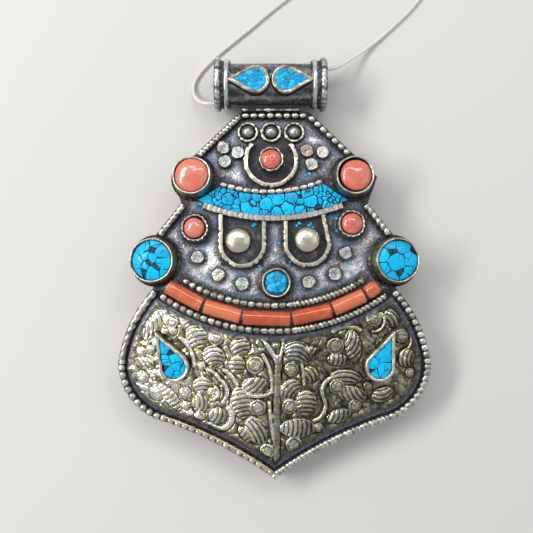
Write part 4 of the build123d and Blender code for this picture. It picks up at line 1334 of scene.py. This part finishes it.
def crumbs(x, y, size):
    """Height and tint of crushed stone at a flat point."""
    near, spots = noise.voronoi(Vector((x / size, y / size, 0.0)))
    crown = min(1.0, (near[1] - near[0]) * 3.2)
    return crown, noise.cell(spots[0] * 7.31)


def crushed_centre():
    """The centre stone: crushed turquoise, level with its cup, with gaps at the rim."""
    place, radius, height, wall, _, _ = BEZELS["centre_turquoise"]
    bed = seat(*place)
    size = radius - wall

    def bent(u, v):
        reach, angle = u * size, TURN * v
        x, y = reach * math.cos(angle), reach * math.sin(angle)
        crown, tint = crumbs(x, y, 0.85)
        ragged = 0.16 * ring_noise(angle, 2.2, 5.0) + 0.9
        filled = held((ragged - u) * 12)
        level = height - 0.55 + filled * (0.07 * crown + 0.5 * (1 - u * u))
        return bed @ Vector((x, y, level)), crown * filled, tint

    def under(point):
        flat = bed.inverted() @ point
        return bed @ Vector((flat.x, flat.y, 0.6))

    shape = new_shape()
    skin(shape, 46, 120, bent)
    backed(shape, under)
    piece("centre_turquoise_crush", shape, [CRUSHED], "centre_turquoise_stone", crease=75)


# Mosaic

def mosaic():
    """The band of turquoise chips in dark resin, and its two wires."""
    upper = [point - Vector((0.0, MOSAIC_WIRE)) for point in arc_through(*MOSAIC_UPPER)]
    lower = [point + Vector((0.0, MOSAIC_WIRE)) for point in arc_through(*MOSAIC_LOWER)]
    above, below = near_points([upper]), near_points([lower])
    out, up = MOSAIC_END
    left, right = lower[0] + Vector((-out, up)), lower[-1] + Vector((out, up))
    top_line, low_line = [left, *upper, right], [left, *lower, right]

    def levels(x):
        return edge_level(low_line, x, right.y), edge_level(top_line, x, right.y)

    def bed(u, v):
        x = left.x + (right.x - left.x) * u
        low, high = levels(x)
        y = low + (high - low) * v
        rough = 0.08 * waver(x * 1.8, y * 1.8, 1.0)
        edge = min(u, 1 - u, v, 1 - v) < TINY
        return on_dome(x, y, 0.02 if edge else MOSAIC_BED_HEIGHT + rough), 0.0, 0.0

    def border_cuts(seed):
        cuts = []
        for finder, line, sign in ((above, upper, 1.0), (below, lower, -1.0)):
            _, index, _ = finder.find((seed.x, seed.y, 0.0))
            way = line[min(index + 2, len(line) - 1)] - line[max(index - 2, 0)]
            cuts.append((line[index], Vector((-way.y, way.x)).normalized() * sign))
        cuts.append((left, (left - upper[0]).orthogonal().normalized() * -1.0))
        cuts.append((right, (right - upper[-1]).orthogonal().normalized()))
        return [cut for cut in cuts if (seed - cut[0]).dot(cut[1]) < 0]

    def corners(seed):
        return [seed + Vector(corner) for corner in ring_corners(2.0, 11)]

    def lay(x, y, level):
        return on_dome(x, y, MOSAIC_BED_HEIGHT + level - 0.05)

    draw = random.Random(11)
    seeds = []
    for size in MOSAIC_SIZES:
        for _ in range(MOSAIC_TRIES):
            x = draw.uniform(left.x + 0.5, right.x - 0.5)
            low, high = levels(x)
            seed = Vector((x, draw.uniform(low + 0.25, high - 0.25)))
            apart = all((seed - other).length > 0.8 * (size + other_size) for other, other_size in seeds)
            crushed = any(start < x < end for start, end in MOSAIC_CRUSHED)
            if apart and clear_of_bezels(seed, 0.2) and not (crushed and size > CRUSHED_SIZE):
                seeds.append((seed, size))
    lost = [chip for chip in seeds if chip[1] < 1.2 and draw.random() < 0.07]
    kept = [chip for chip in seeds if chip not in lost]
    shape = new_shape()
    skin(shape, 90, 14, bed)
    backed(shape, lambda point: on_dome(point.x, point.y, 0.005))
    inlay(shape, corners, kept, lost, 0.21, MOSAIC_CHIP_HEIGHT, 0.25, lay, draw, border_cuts)
    piece("mosaic_chips", shape, [RESIN, TURQUOISE], "mosaic_bed", crease=30)


def mosaic_wires():
    """The beaded wire above the mosaic and the notched band below it."""
    for name, ends, radius, pitch, groove, flat, kept in (
        ("upper", MOSAIC_UPPER, MOSAIC_WIRE, 1.75, 0.5, 0.7, 0.3),
        ("lower", MOSAIC_LOWER, MOSAIC_BAND, 1.1, 0.84, 0.5, 0.6),
    ):
        shape = new_shape()
        points = [point for point in arc_through(*ends) if clear_of_bezels(point, 0.2)]
        beaded(shape, Run(points, MOSAIC_WIRE), radius, pitch, groove, flat=flat, kept=kept)
        piece(f"mosaic_beads_{name}", shape, [SILVER], f"mosaic_wire_{name}", crease=60)


# Strip work and granules

def horseshoe_line():
    """Flat points round the horseshoe, from its left end."""
    points = []
    for index in range(121):
        angle = math.radians(HORSESHOE_MOUTH + (360 - 2 * HORSESHOE_MOUTH) * index / 120)
        points.append(Vector(HORSESHOE) + Vector((-math.sin(angle), math.cos(angle))) * HORSESHOE_RADIUS)
    return points


def u_line(centre, lean):
    """Flat points round a U, from the top of its left leg."""
    band = arc_through(*MOSAIC_LOWER)

    def leg_top(x):
        nearest = min(band, key=lambda point: abs(point.x - x))
        return nearest.y - MOSAIC_WIRE

    x, y = centre
    left, right = x - U_RADIUS, x + U_RADIUS
    points = bowed((left, leg_top(left)), (left, y))
    for index in range(1, 60):
        angle = math.pi * index / 60
        points.append(Vector((x - U_RADIUS * math.cos(angle), y - U_RADIUS * math.sin(angle))))
    return points + bowed((right, y), (right - lean, leg_top(right - lean)))


def strip(name, points, node, seed):
    """A strip on edge: a flat bright top, and a sloped outer side with nicks."""
    line = Run(points, 0.0)
    section = straight((
        (-0.42, 0.0, 0.1),
        (-0.42, 1.12, 0.5),
        (-0.34, STRIP_HEIGHT, 1.0),
        (0.1, STRIP_HEIGHT, 0.8),
        (0.44, 1.22, 0.72),
        (0.6, 0.8, 0.42),
        (0.5, 0.0, 0.0),
        (-0.42, 0.0, 0.1),
    ))

    def place(u, v):
        distance = u * line.length
        spot, side, out = line.at(distance)
        (across, height, wear), _ = section(v)
        wave = 0.12 * waver(distance * 0.45, seed, 0.0)
        nick = waver(distance * 1.5, seed + 3.0, 0.0)
        if across > 0:
            across += (0.2 * nick - 0.04) * min(1.0, across / 0.3)
            wear *= 0.9 + 0.8 * nick
        if at_end(u):
            across, height = 0.0, height * 0.5
        return spot + side * (across + wave) + out * (height * (1 + wave)), wear, 0.0

    shape = new_shape()
    skin(shape, round(line.length / STRIP_STEP), 21, place)
    piece(name, shape, [PALE_BRASS], node, crease=42)


def strips():
    """The horseshoe round the centre coral and the two U shapes."""
    strip("horseshoe_rail", horseshoe_line(), "horseshoe_strip", 1.0)
    strip("u_rail_left", u_line(U_LEFT, 0.0), "u_strip_left", 4.0)
    strip("u_rail_right", u_line(U_RIGHT, U_RIGHT_LEAN), "u_strip_right", 8.0)


def ringed_balls():
    """Balls in wire rings at the top of the face."""
    rings, balls = new_shape(), new_shape()
    for number, place in enumerate(RINGS):
        bed = seat(*place)
        centre = bed @ Vector((0.0, 0.0, RING_WIRE))
        ring = hoop(centre, RING_RADIUS, bed.col[2].to_3d(), bed.col[0].to_3d(), lying=True)

        def size(distance, angle):
            worn = ring_noise(distance / RING_RADIUS, 3.0, number)
            return RING_WIRE * (1 + 0.25 * worn), 0.1 + 0.7 * max(0.0, math.sin(angle)) ** 4 + 0.7 * worn

        wire(rings, ring, TURN * RING_RADIUS, size, 64, closed=True)
        cabochon(balls, bed, BALL_RADIUS, 0.0, 0.35, BALL_HEIGHT, 0.05, number * 3.0, 0.8)
    piece("granule_hoops", rings, [BEZEL_METAL], "granule_rings", crease=60)
    piece("ring_balls", balls, [DARK_SILVER], "ring_granules")


def brass_domes():
    """The two polished domes in the U strips."""
    for name, (x, y), shift in (("left", U_LEFT, GRANULE_LEFT_SHIFT), ("right", U_RIGHT, 0.0)):
        shape = new_shape()
        bed = seat(x + shift, y + GRANULE_RISE)
        cabochon(shape, bed, GRANULE_RADIUS, 0.0, 0.6, GRANULE_HEIGHT, 0.025, x)
        piece(f"brass_boss_{name}", shape, [POLISHED_BRASS], f"brass_dome_{name}")


def flat_shot():
    """The hammered grains beside the horseshoe and above the channel, not quite round."""
    top = SHOT_HEIGHT
    profile = through([
        (0.0, 0.0, 0.0),
        (SHOT_RADIUS * 0.96, 0.0, 0.0),
        (SHOT_RADIUS * 1.03, 0.4 * top, 0.2),
        (SHOT_RADIUS * 1.02, 0.8 * top, 0.75),
        (SHOT_RADIUS * 0.93, top, 1.0),
        (SHOT_RADIUS * 0.5, 0.97 * top, 0.9),
        (0.0, 0.93 * top, 0.85),
    ])
    for name, grains in SHOT.items():
        shape = new_shape()
        for x, y, tone in grains:
            seed = x * 3.7 + y

            def lumps(size, level, wear, angle):
                return size * (1 + 0.22 * ring_noise(angle, 1.2, seed)), level, wear

            part = new_shape()
            turned(part, seat(x, y), profile, 24, 28, lumps)
            painted(part, tone)
            for vert in part.verts:
                vert.co.z += 0.22 * noise.noise(vert.co * 0.8) * (vert.co.z > on_dome(x, y, 0.5 * top).z)
            added(shape, part)
        piece(f"shot_grains_{name}", shape, [SHOT_METAL], f"shot_{name}")


def stray_chips():
    """Crumbs of turquoise that stuck to the face beside the inlay."""
    draw = random.Random(23)
    shape = new_shape()
    for x, y in CRUMBS:
        size = draw.uniform(0.28, 0.5)
        corners = [(cx, 0.8 * cy) for cx, cy in ring_corners(size, 6)]
        away = Vector((draw.uniform(-1, 1), draw.uniform(-1, 1))).normalized()
        chip = trimmed_chip(corners, [(away * size * 0.4, away)], CRUMB_HEIGHT, draw.random())
        if not chip:
            continue
        bed = seat(x, y, turn=draw.uniform(0, 360))
        bmesh.ops.transform(chip, matrix=bed, verts=chip.verts)
        added(shape, chip)
    piece("stray_chips", shape, [TURQUOISE], crease=30)


# Embossed panel

PANEL_SIDES = moved_in(FLARE, PANEL_INSET)
PANEL_CORNER = moved_in(CORNER_EDGE, PANEL_INSET)
PANEL_TIP = moved_in(TIP_EDGE, PANEL_INSET)
PANEL_LOW_EDGES = (PANEL_CORNER, PANEL_TIP, mirrored(PANEL_CORNER), mirrored(PANEL_TIP))
PANEL_HALF = PANEL_SIDES[-1].x - 0.02


def panel_low(x):
    """The panel's lower edge at a place across it."""
    return max(level for level in (edge_level(line, x) for line in PANEL_LOW_EDGES) if level is not None)


def panel_high(x):
    """The panel's upper edge: under the channel, and inside the flared sides."""
    reach = CHANNEL_WIRES["lower"][0] + CHANNEL_WIRE + 0.3
    channel = CHANNEL_CENTRE[1] - math.sqrt(reach**2 - (x - CHANNEL_CENTRE[0]) ** 2)
    return min(channel, edge_level(PANEL_SIDES, abs(x), channel))


def turned_place(dx, dy, turn):
    """A flat way along and across a direction, in degrees."""
    cos_turn, sin_turn = math.cos(math.radians(turn)), math.sin(math.radians(turn))
    return dx * cos_turn + dy * sin_turn, dy * cos_turn - dx * sin_turn


def leaf_relief(x, y, leaf):
    """Height, vein depth and outside gap of a leaf at a point: a swollen oval with curved veins, with painted
    light from the left mixed into the vein depth.
    """
    (cx, cy), length, width, turn, vein_turn, bend = leaf
    length *= LEAF_SWELL
    width *= LEAF_SWELL
    dx, dy = x - cx, y - cy
    along, across = turned_place(dx, dy, turn)
    share = math.hypot(2 * along / length, 2 * across / width)
    if share > 1:
        return 0.0, 0.0, (share - 1) * width / 2
    run, step = turned_place(dx, dy, vein_turn)
    crest = abs(math.sin(math.pi * (step - bend * run**2) / VEIN_SPACING))
    groove = max(0.0, 1 - crest / 0.8) * (share < 0.88)
    lip = 0.14 * math.exp(-(((share - 0.9) / 0.07) ** 2))
    slope = 0.66 + 0.34 * step / (0.5 * length)
    rise = slope * LEAF_RISE * ((1 - share**4) ** 0.5 + lip) - VEIN_DEPTH * groove * share
    # The last term lowers the groove towards the leaf's upper-left end and raises it towards its lower right:
    # a painted highlight and painted shade, as of light from the left.
    return rise, groove - LEAF_PAINTED_LIGHT * (dy - dx) / length, 0.0


def bud_relief(x, y, bud):
    """Height, groove depth and outside gap of a bud at a point: a stippled button in a ring."""
    (cx, cy), radius = bud
    share = math.hypot(x - cx, y - cy) / radius
    if share > 1:
        return 0.0, 0.0, (share - 1) * radius
    ring = math.exp(-(((share - 0.66) / 0.1) ** 2))
    stipple = max(0.0, waver(x * 3.1, y * 3.1, 0.0)) * (share < 0.6)
    groove = min(1.0, 0.6 * ring + 1.1 * stipple)
    return BUD_RISE * (1 - share**4) ** 0.5 - 0.16 * groove, groove, 0.0


def stem_relief(x, y, half, points):
    """Height, tarnish and outside gap of a stem at a point: a round cord along its points."""
    nearest = min(math.hypot(x - point.x, y - point.y) for point in points)
    if nearest > half:
        return 0.0, 0.0, nearest - half
    tarnish = TRUNK_TARNISH if half == TRUNK_HALF else 0.0
    return STEM_RISE * math.sqrt(1 - (nearest / half) ** 2), tarnish, 0.0


def stem_lines():
    """The stems with all their points, their middle and their reach."""
    lines = []
    for half, points in STEMS:
        line = arc_through(*points)
        middle = (Vector(points[0]) + Vector(points[2])) / 2
        reach = max((point - middle).length for point in line) + half + CREASE_REACH
        lines.append((half, line, middle, reach))
    return lines


def foliage(x, y, stems):
    """Height, groove depth and crease of the whole foliage at a point; the leaves' groove depth carries their
    painted light.
    """

    def near(place, reach):
        return abs(x - place[0]) < reach and abs(y - place[1]) < reach

    found = [leaf_relief(x, y, leaf) for leaf in LEAVES if near(leaf[0], leaf[1] * 0.6 + CREASE_REACH)]
    found += [bud_relief(x, y, bud) for bud in BUDS if near(bud[0], bud[1] + CREASE_REACH)]
    found += [stem_relief(x, y, half, line) for half, line, middle, reach in stems if near(middle, reach)]
    if not found:
        return 0.0, 0.0, 0.0
    height, groove, _ = max(found)
    crease = 0.0 if height else math.exp(-min(item[2] for item in found) / 0.3)
    return height, groove, crease


def tooled_ground(x, y):
    """Height and seam of the small scrolls punched between the leaves."""
    bend = 1.1 * waver(x * 0.45, y * 0.45, 9.0)
    nearest, _ = noise.voronoi(Vector((x / 1.9 + bend, y / 2.3 - bend, 0.0)))
    apart = nearest[1] - nearest[0]
    return 0.46 * min(1.0, 2.0 * apart) ** 0.7, 0.6 * max(0.0, 1 - 6 * apart)


def within_drop(x, y):
    """Whether a point lies under one of the drops' cups."""
    radius, tip, wall = PANEL_DROP
    foot = radius + wall + DROP_ROOM
    for place, turn in PANEL_DROPS.values():
        way = Matrix.Rotation(math.radians(-turn), 2) @ (Vector((x, y)) - Vector(place))
        taper = foot if way.y < 0 else foot * (1 - way.y / (tip + 1.6))
        if abs(way.x) < taper and way.length < tip + 1.5 and way.y > -foot:
            return math.hypot(way.x, min(way.y, 0.0)) < max(taper, 0.1)
    return False


def embossed_panel():
    """The brass sheet with its foliage raised from behind."""
    border = []
    for index in range(241):
        x = PANEL_HALF * (2 * index / 240 - 1)
        border.append((x, panel_low(x)))
        border.append((x, panel_high(x)))
    finder = near_points([border])
    stems = stem_lines()
    edges = {}

    def place(u, v):
        x = PANEL_HALF * (2 * u - 1)
        if u not in edges:
            edges[u] = (panel_low(x), panel_high(x))
        low, high = edges[u]
        row = round(v * (PANEL_ROWS + PANEL_BACK_ROWS + 1))
        if at_end(u):
            return on_dome(x, (low + high) / 2, 0.2), 0.0, 0.0
        if PANEL_ROWS < row <= PANEL_ROWS + PANEL_BACK_ROWS:
            back = (row - PANEL_ROWS - 1) / (PANEL_BACK_ROWS - 1)
            return on_dome(x, high + (low - high) * back, 0.02), 0.0, 0.0
        y = low + (high - low) * (row / PANEL_ROWS if row <= PANEL_ROWS else 0.0)
        gap = gap_to(finder, x, y)
        fade = held((gap - 0.5) / PANEL_MARGIN)
        height, groove, crease = foliage(x, y, stems)
        # Towards the right the ground's scrolls grow flatter and the sheet is painted darker; towards the
        # left it is painted paler. The paler left and darker right are painted light from the left and
        # painted shade on the right.
        dull = held((x + 10) / 18)
        pale = held((-x - 11) / 10)
        if not height:
            height, groove = tooled_ground(x, y)
            height *= (1 - crease) * (1 - 0.5 * dull)
            groove *= 1 - 0.5 * dull
        raised = height * fade
        if within_drop(x, y):
            raised = min(raised, 0.1)
        uneven = 0.14 * waver(x * 0.8, y * 0.8, 6.0) + 0.06 * waver(x * 2.3, y * 2.3, 2.0)
        # Wear from the raised forms, the grooves and the unevenness; the crease term is painted shade on the
        # ground at the foot of each motif.
        wear = 0.6 + 0.46 * raised - 0.76 * groove * fade - 0.3 * crease + 0.9 * uneven
        # Painted light: paler towards the left; painted shade: darker towards the right.
        wear += 0.2 * pale - 0.26 * dull
        level = RELIEF_GROUND + raised + (uneven - 0.1 * crease) * fade
        return on_dome(x, y, level), wear * (0.3 + 0.7 * fade), min(1.0, gap / PANEL_MARGIN)

    shape = new_shape()
    skin(shape, PANEL_COLUMNS, PANEL_ROWS + PANEL_BACK_ROWS + 1, place)
    piece("embossed_foliage", shape, [BRASS], "embossed_panel", crease=70)


# Bail

def round_bail(along, radius, angle):
    """A point round the bail's axis, at a distance along it from its middle."""
    return BAIL + Vector((along, radius * math.cos(angle), radius * math.sin(angle)))


def bail_tube():
    """The tube of the bail, hammered along its length."""
    half = BAIL_LENGTH / 2
    section = straight((
        (-half, BAIL_OUTER), (half, BAIL_OUTER), (half, BAIL_BORE), (-half, BAIL_BORE), (-half, BAIL_OUTER),
    ))

    def place(u, v):
        (along, radius), line = section(u)
        angle = TURN * v
        wear = 0.0
        if line == 0:
            radius += 0.07 * ring_noise(angle, 2.4, along * 0.12) - 0.05
            wear = 0.45 + 0.5 * ring_noise(angle, 4.0, along * 0.2)
        return round_bail(along, radius, angle), wear, 0.0

    shape = new_shape()
    skin(shape, 80, 72, place)
    piece("bail_barrel", shape, [DARK_SILVER], "bail_tube", crease=50)


def bail_solder():
    """The uneven line of solder along the front edge of the bail's saddle."""
    low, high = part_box("bail_saddle")
    start = Vector((low[0], low[1], high[2])) / MM + Vector((0.0, 0.3, -0.1))
    length = (high[0] - low[0]) / MM

    def at(distance):
        return start + Vector((distance, 0.0, 0.0)), Vector((0.0, -1.0, 0.0)), Vector((0.0, 0.0, 1.0))

    def size(distance, angle):
        lump = waver(distance * 0.8, 1.0, 4.3)
        return max(0.06, 0.18 + 0.34 * lump), 0.4 + 0.9 * lump

    shape = new_shape()
    wire(shape, at, length, size, 90)
    piece("bail_solder", shape, [SILVER], crease=60)


def bail_collars():
    """A collar on each end of the tube: a toothed outer ring, a groove and a smooth inner ring."""
    axis, up = Vector((1.0, 0.0, 0.0)), Vector((0.0, 0.0, 1.0))
    section = straight((
        (0.0, SLEEVE_BORE),
        (0.0, SLEEVE_OUTER),
        (COLLAR_WIDTH, SLEEVE_INNER_END),
        (COLLAR_WIDTH, SLEEVE_BORE),
        (0.0, SLEEVE_BORE),
    ))
    for name, side in SIDES:

        def from_end(inset):
            return side * (BAIL_LENGTH / 2 - inset)

        def sleeve(u, v):
            (inset, radius), _ = section(u)
            return round_bail(from_end(inset), radius, TURN * v), 0.2, 0.0

        def smooth(distance, angle):
            uneven = 0.06 * ring_noise(distance / INNER_RIDGE_LINE, 3.0, side)
            return INNER_RIDGE * (1 + uneven), 0.2 + 0.7 * max(0.0, math.sin(angle))

        shape = new_shape()
        skin(shape, 16, 64, sleeve)
        length = TURN * RIDGE_LINE
        teeth = beads(RIDGE, length / RIDGE_TEETH, 0.88, 1, kept=0.5)
        ring = hoop(BAIL + axis * from_end(RIDGE), RIDGE_LINE, axis, up)
        wire(shape, ring, length, teeth, RIDGE_TEETH * 6, 12, True, 0.95)
        ring = hoop(BAIL + axis * from_end(COLLAR_WIDTH - INNER_RIDGE_INSET), INNER_RIDGE_LINE, axis, up)
        wire(shape, ring, TURN * INNER_RIDGE_LINE, smooth, 120, 12, True, 1.0)
        piece(f"bail_rings_{name}", shape, [COLLAR_SILVER], f"bail_collar_{name}", crease=60)


def bail_drops():
    """The two drops on the tube, tip outwards, filled with crushed turquoise."""
    radius, tip, _ = BAIL_DROP
    top = BAIL_OUTER + BAIL_DROP_RISE

    def on_tube(point):
        return math.sqrt(BAIL_OUTER**2 - min(point.x**2, 12.0)) - 0.05

    for end, side in SIDES:
        name = f"bail_drop_{end}"
        middle = BAIL + Vector((side * BAIL_DROP_X, 0.0, 0.0))

        def lay(x, y, level):
            return middle + Vector((side * y, -side * x, level))

        def crushed(u, v):
            point = drop_point(v, radius, tip) * (u * 1.01)
            crown, tint = crumbs(point.x + side * 9, point.y, 0.7)
            return lay(point.x, point.y, top - 0.2 + 0.14 * crown), crown, tint

        drop_cup(name, BAIL_DROP, on_tube, top - 0.05, lay, side * 3.0, 0.66)
        stone = new_shape()
        skin(stone, 44, 110, crushed)
        backed(stone, lambda point: Vector((point.x, point.y, BAIL.z + top - 0.4)))
        piece(f"{name}_crush", stone, [CRUSHED], f"{name}_stone", crease=75)


# Thread

def thread():
    """The display thread through the bail, in one line from one end of the tube to the other."""
    route = [*THREAD_LEFT, *reversed(THREAD_RIGHT)]
    line = bpy.data.curves.new("thread", "CURVE")
    line.dimensions = "3D"
    line.bevel_depth = THREAD_DIAMETER / 2 * MM
    line.bevel_resolution = 4
    spline = line.splines.new("NURBS")
    spline.points.add(len(route) - 1)
    for point, place in zip(spline.points, route):
        point.co = (*[share * MM for share in place], 1.0)
    spline.order_u = 3
    spline.use_endpoint_u = True
    spline.resolution_u = 8
    line.materials.append(NYLON)
    cord = shown("nylon_thread", line)
    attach(cord, "front_half")
    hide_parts("thread_left", "thread_right")
    knot()


def knot():
    """The knot that joins the two strands: a few turns of thread along X."""
    left, right = Vector(THREAD_LEFT[-1]), Vector(THREAD_RIGHT[-1])
    middle = (left + right) / 2
    half = (right.x - left.x) / 2
    coil = KNOT_RADIUS - THREAD_DIAMETER / 2
    length = TURN * coil * KNOT_TURNS
    axis = Vector((1.0, 0.0, 0.0))

    def at(distance):
        angle = distance / coil
        out = Vector((0.0, math.sin(angle), math.cos(angle)))
        along = (distance / length * 2 - 1) * (half - THREAD_DIAMETER / 2)
        return middle + axis * along + out * coil, axis, out

    shape = new_shape()
    wire(shape, at, length, lambda distance, angle: (THREAD_DIAMETER / 2, 0.0), 96, flat=1.0)
    return piece("thread_knot_turns", shape, [NYLON], "thread_knot", crease=60)


# Stage

def floor():
    """A plain pale floor."""
    shape = bmesh.new()
    bmesh.ops.create_grid(shape, x_segments=1, y_segments=1, size=FLOOR_SIZE / 2)
    mesh = bpy.data.meshes.new("floor")
    shape.to_mesh(mesh)
    shape.free()
    mesh.materials.append(Finish("pale_floor", {"Base Color": (0.64, 0.63, 0.61), "Roughness": 0.9}).material)
    shown("floor", mesh)


def camera():
    """The photograph's view, straight down."""
    lens = bpy.data.cameras.new("camera")
    lens.sensor_fit = "HORIZONTAL"
    lens.angle = 2 * math.atan(VIEW_HALF_WIDTH / VIEW_DISTANCE)
    lens.clip_start = 0.001
    eye = shown("camera", lens)
    eye.location = CAMERA_PLACE * MM
    scene.camera = eye


def lamp(name, place, length, width, power, colour):
    """A soft lamp, long as a window is, that faces the pendant."""
    light = bpy.data.lights.new(name, "AREA")
    light.shape = "RECTANGLE"
    light.size = length
    light.size_y = width
    light.energy = power
    light.color = colour
    holder = shown(name, light)
    holder.location = place
    holder.rotation_euler = (-Vector(place)).to_track_quat("-Z", "Y").to_euler()


def lights():
    """Soft light from the left and from past the top, a weak fill from the right and an even surround."""
    lamp("left_window", (-0.36, 0.12, 0.36), 0.4, 0.1, 2.0, (1.0, 0.98, 0.95))
    lamp("top_window", (0.02, 0.33, 0.42), 0.5, 0.08, 0.9, (1.0, 0.98, 0.96))
    lamp("fill", (0.42, 0.08, 0.36), 0.3, 0.3, 0.25, (0.95, 0.97, 1.0))
    surround = bpy.data.worlds.new("surround")
    scene.world = surround
    surround.use_nodes = True
    sky = surround.node_tree.nodes["Background"]
    sky.inputs["Color"].default_value = (0.95, 0.97, 1.0, 1.0)
    sky.inputs["Strength"].default_value = 0.5


scene.view_settings.view_transform = "Standard"
camera()
thread()
PLAIN_NODES = {"back_plate": CASE, "tray_wall": CASE, "side_band": CASE, "bail_saddle": DARK_SILVER}
for name, finish in PLAIN_NODES.items():
    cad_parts[name].data.materials.clear()
    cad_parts[name].data.materials.append(finish)
front_plate()
rim_wires()
channel_wires()
coral_tubes()
for name, sizes in BEZELS.items():
    round_bezel(name, *sizes)
coral_stones()
chip_cabochon("turquoise_left", 5)
chip_cabochon("turquoise_right", 6)
crushed_centre()
mosaic()
mosaic_wires()
strips()
ringed_balls()
brass_domes()
flat_shot()
stray_chips()
embossed_panel()
panel_drops()
bail_tube()
bail_solder()
bail_collars()
bail_drops()
floor()
lights()
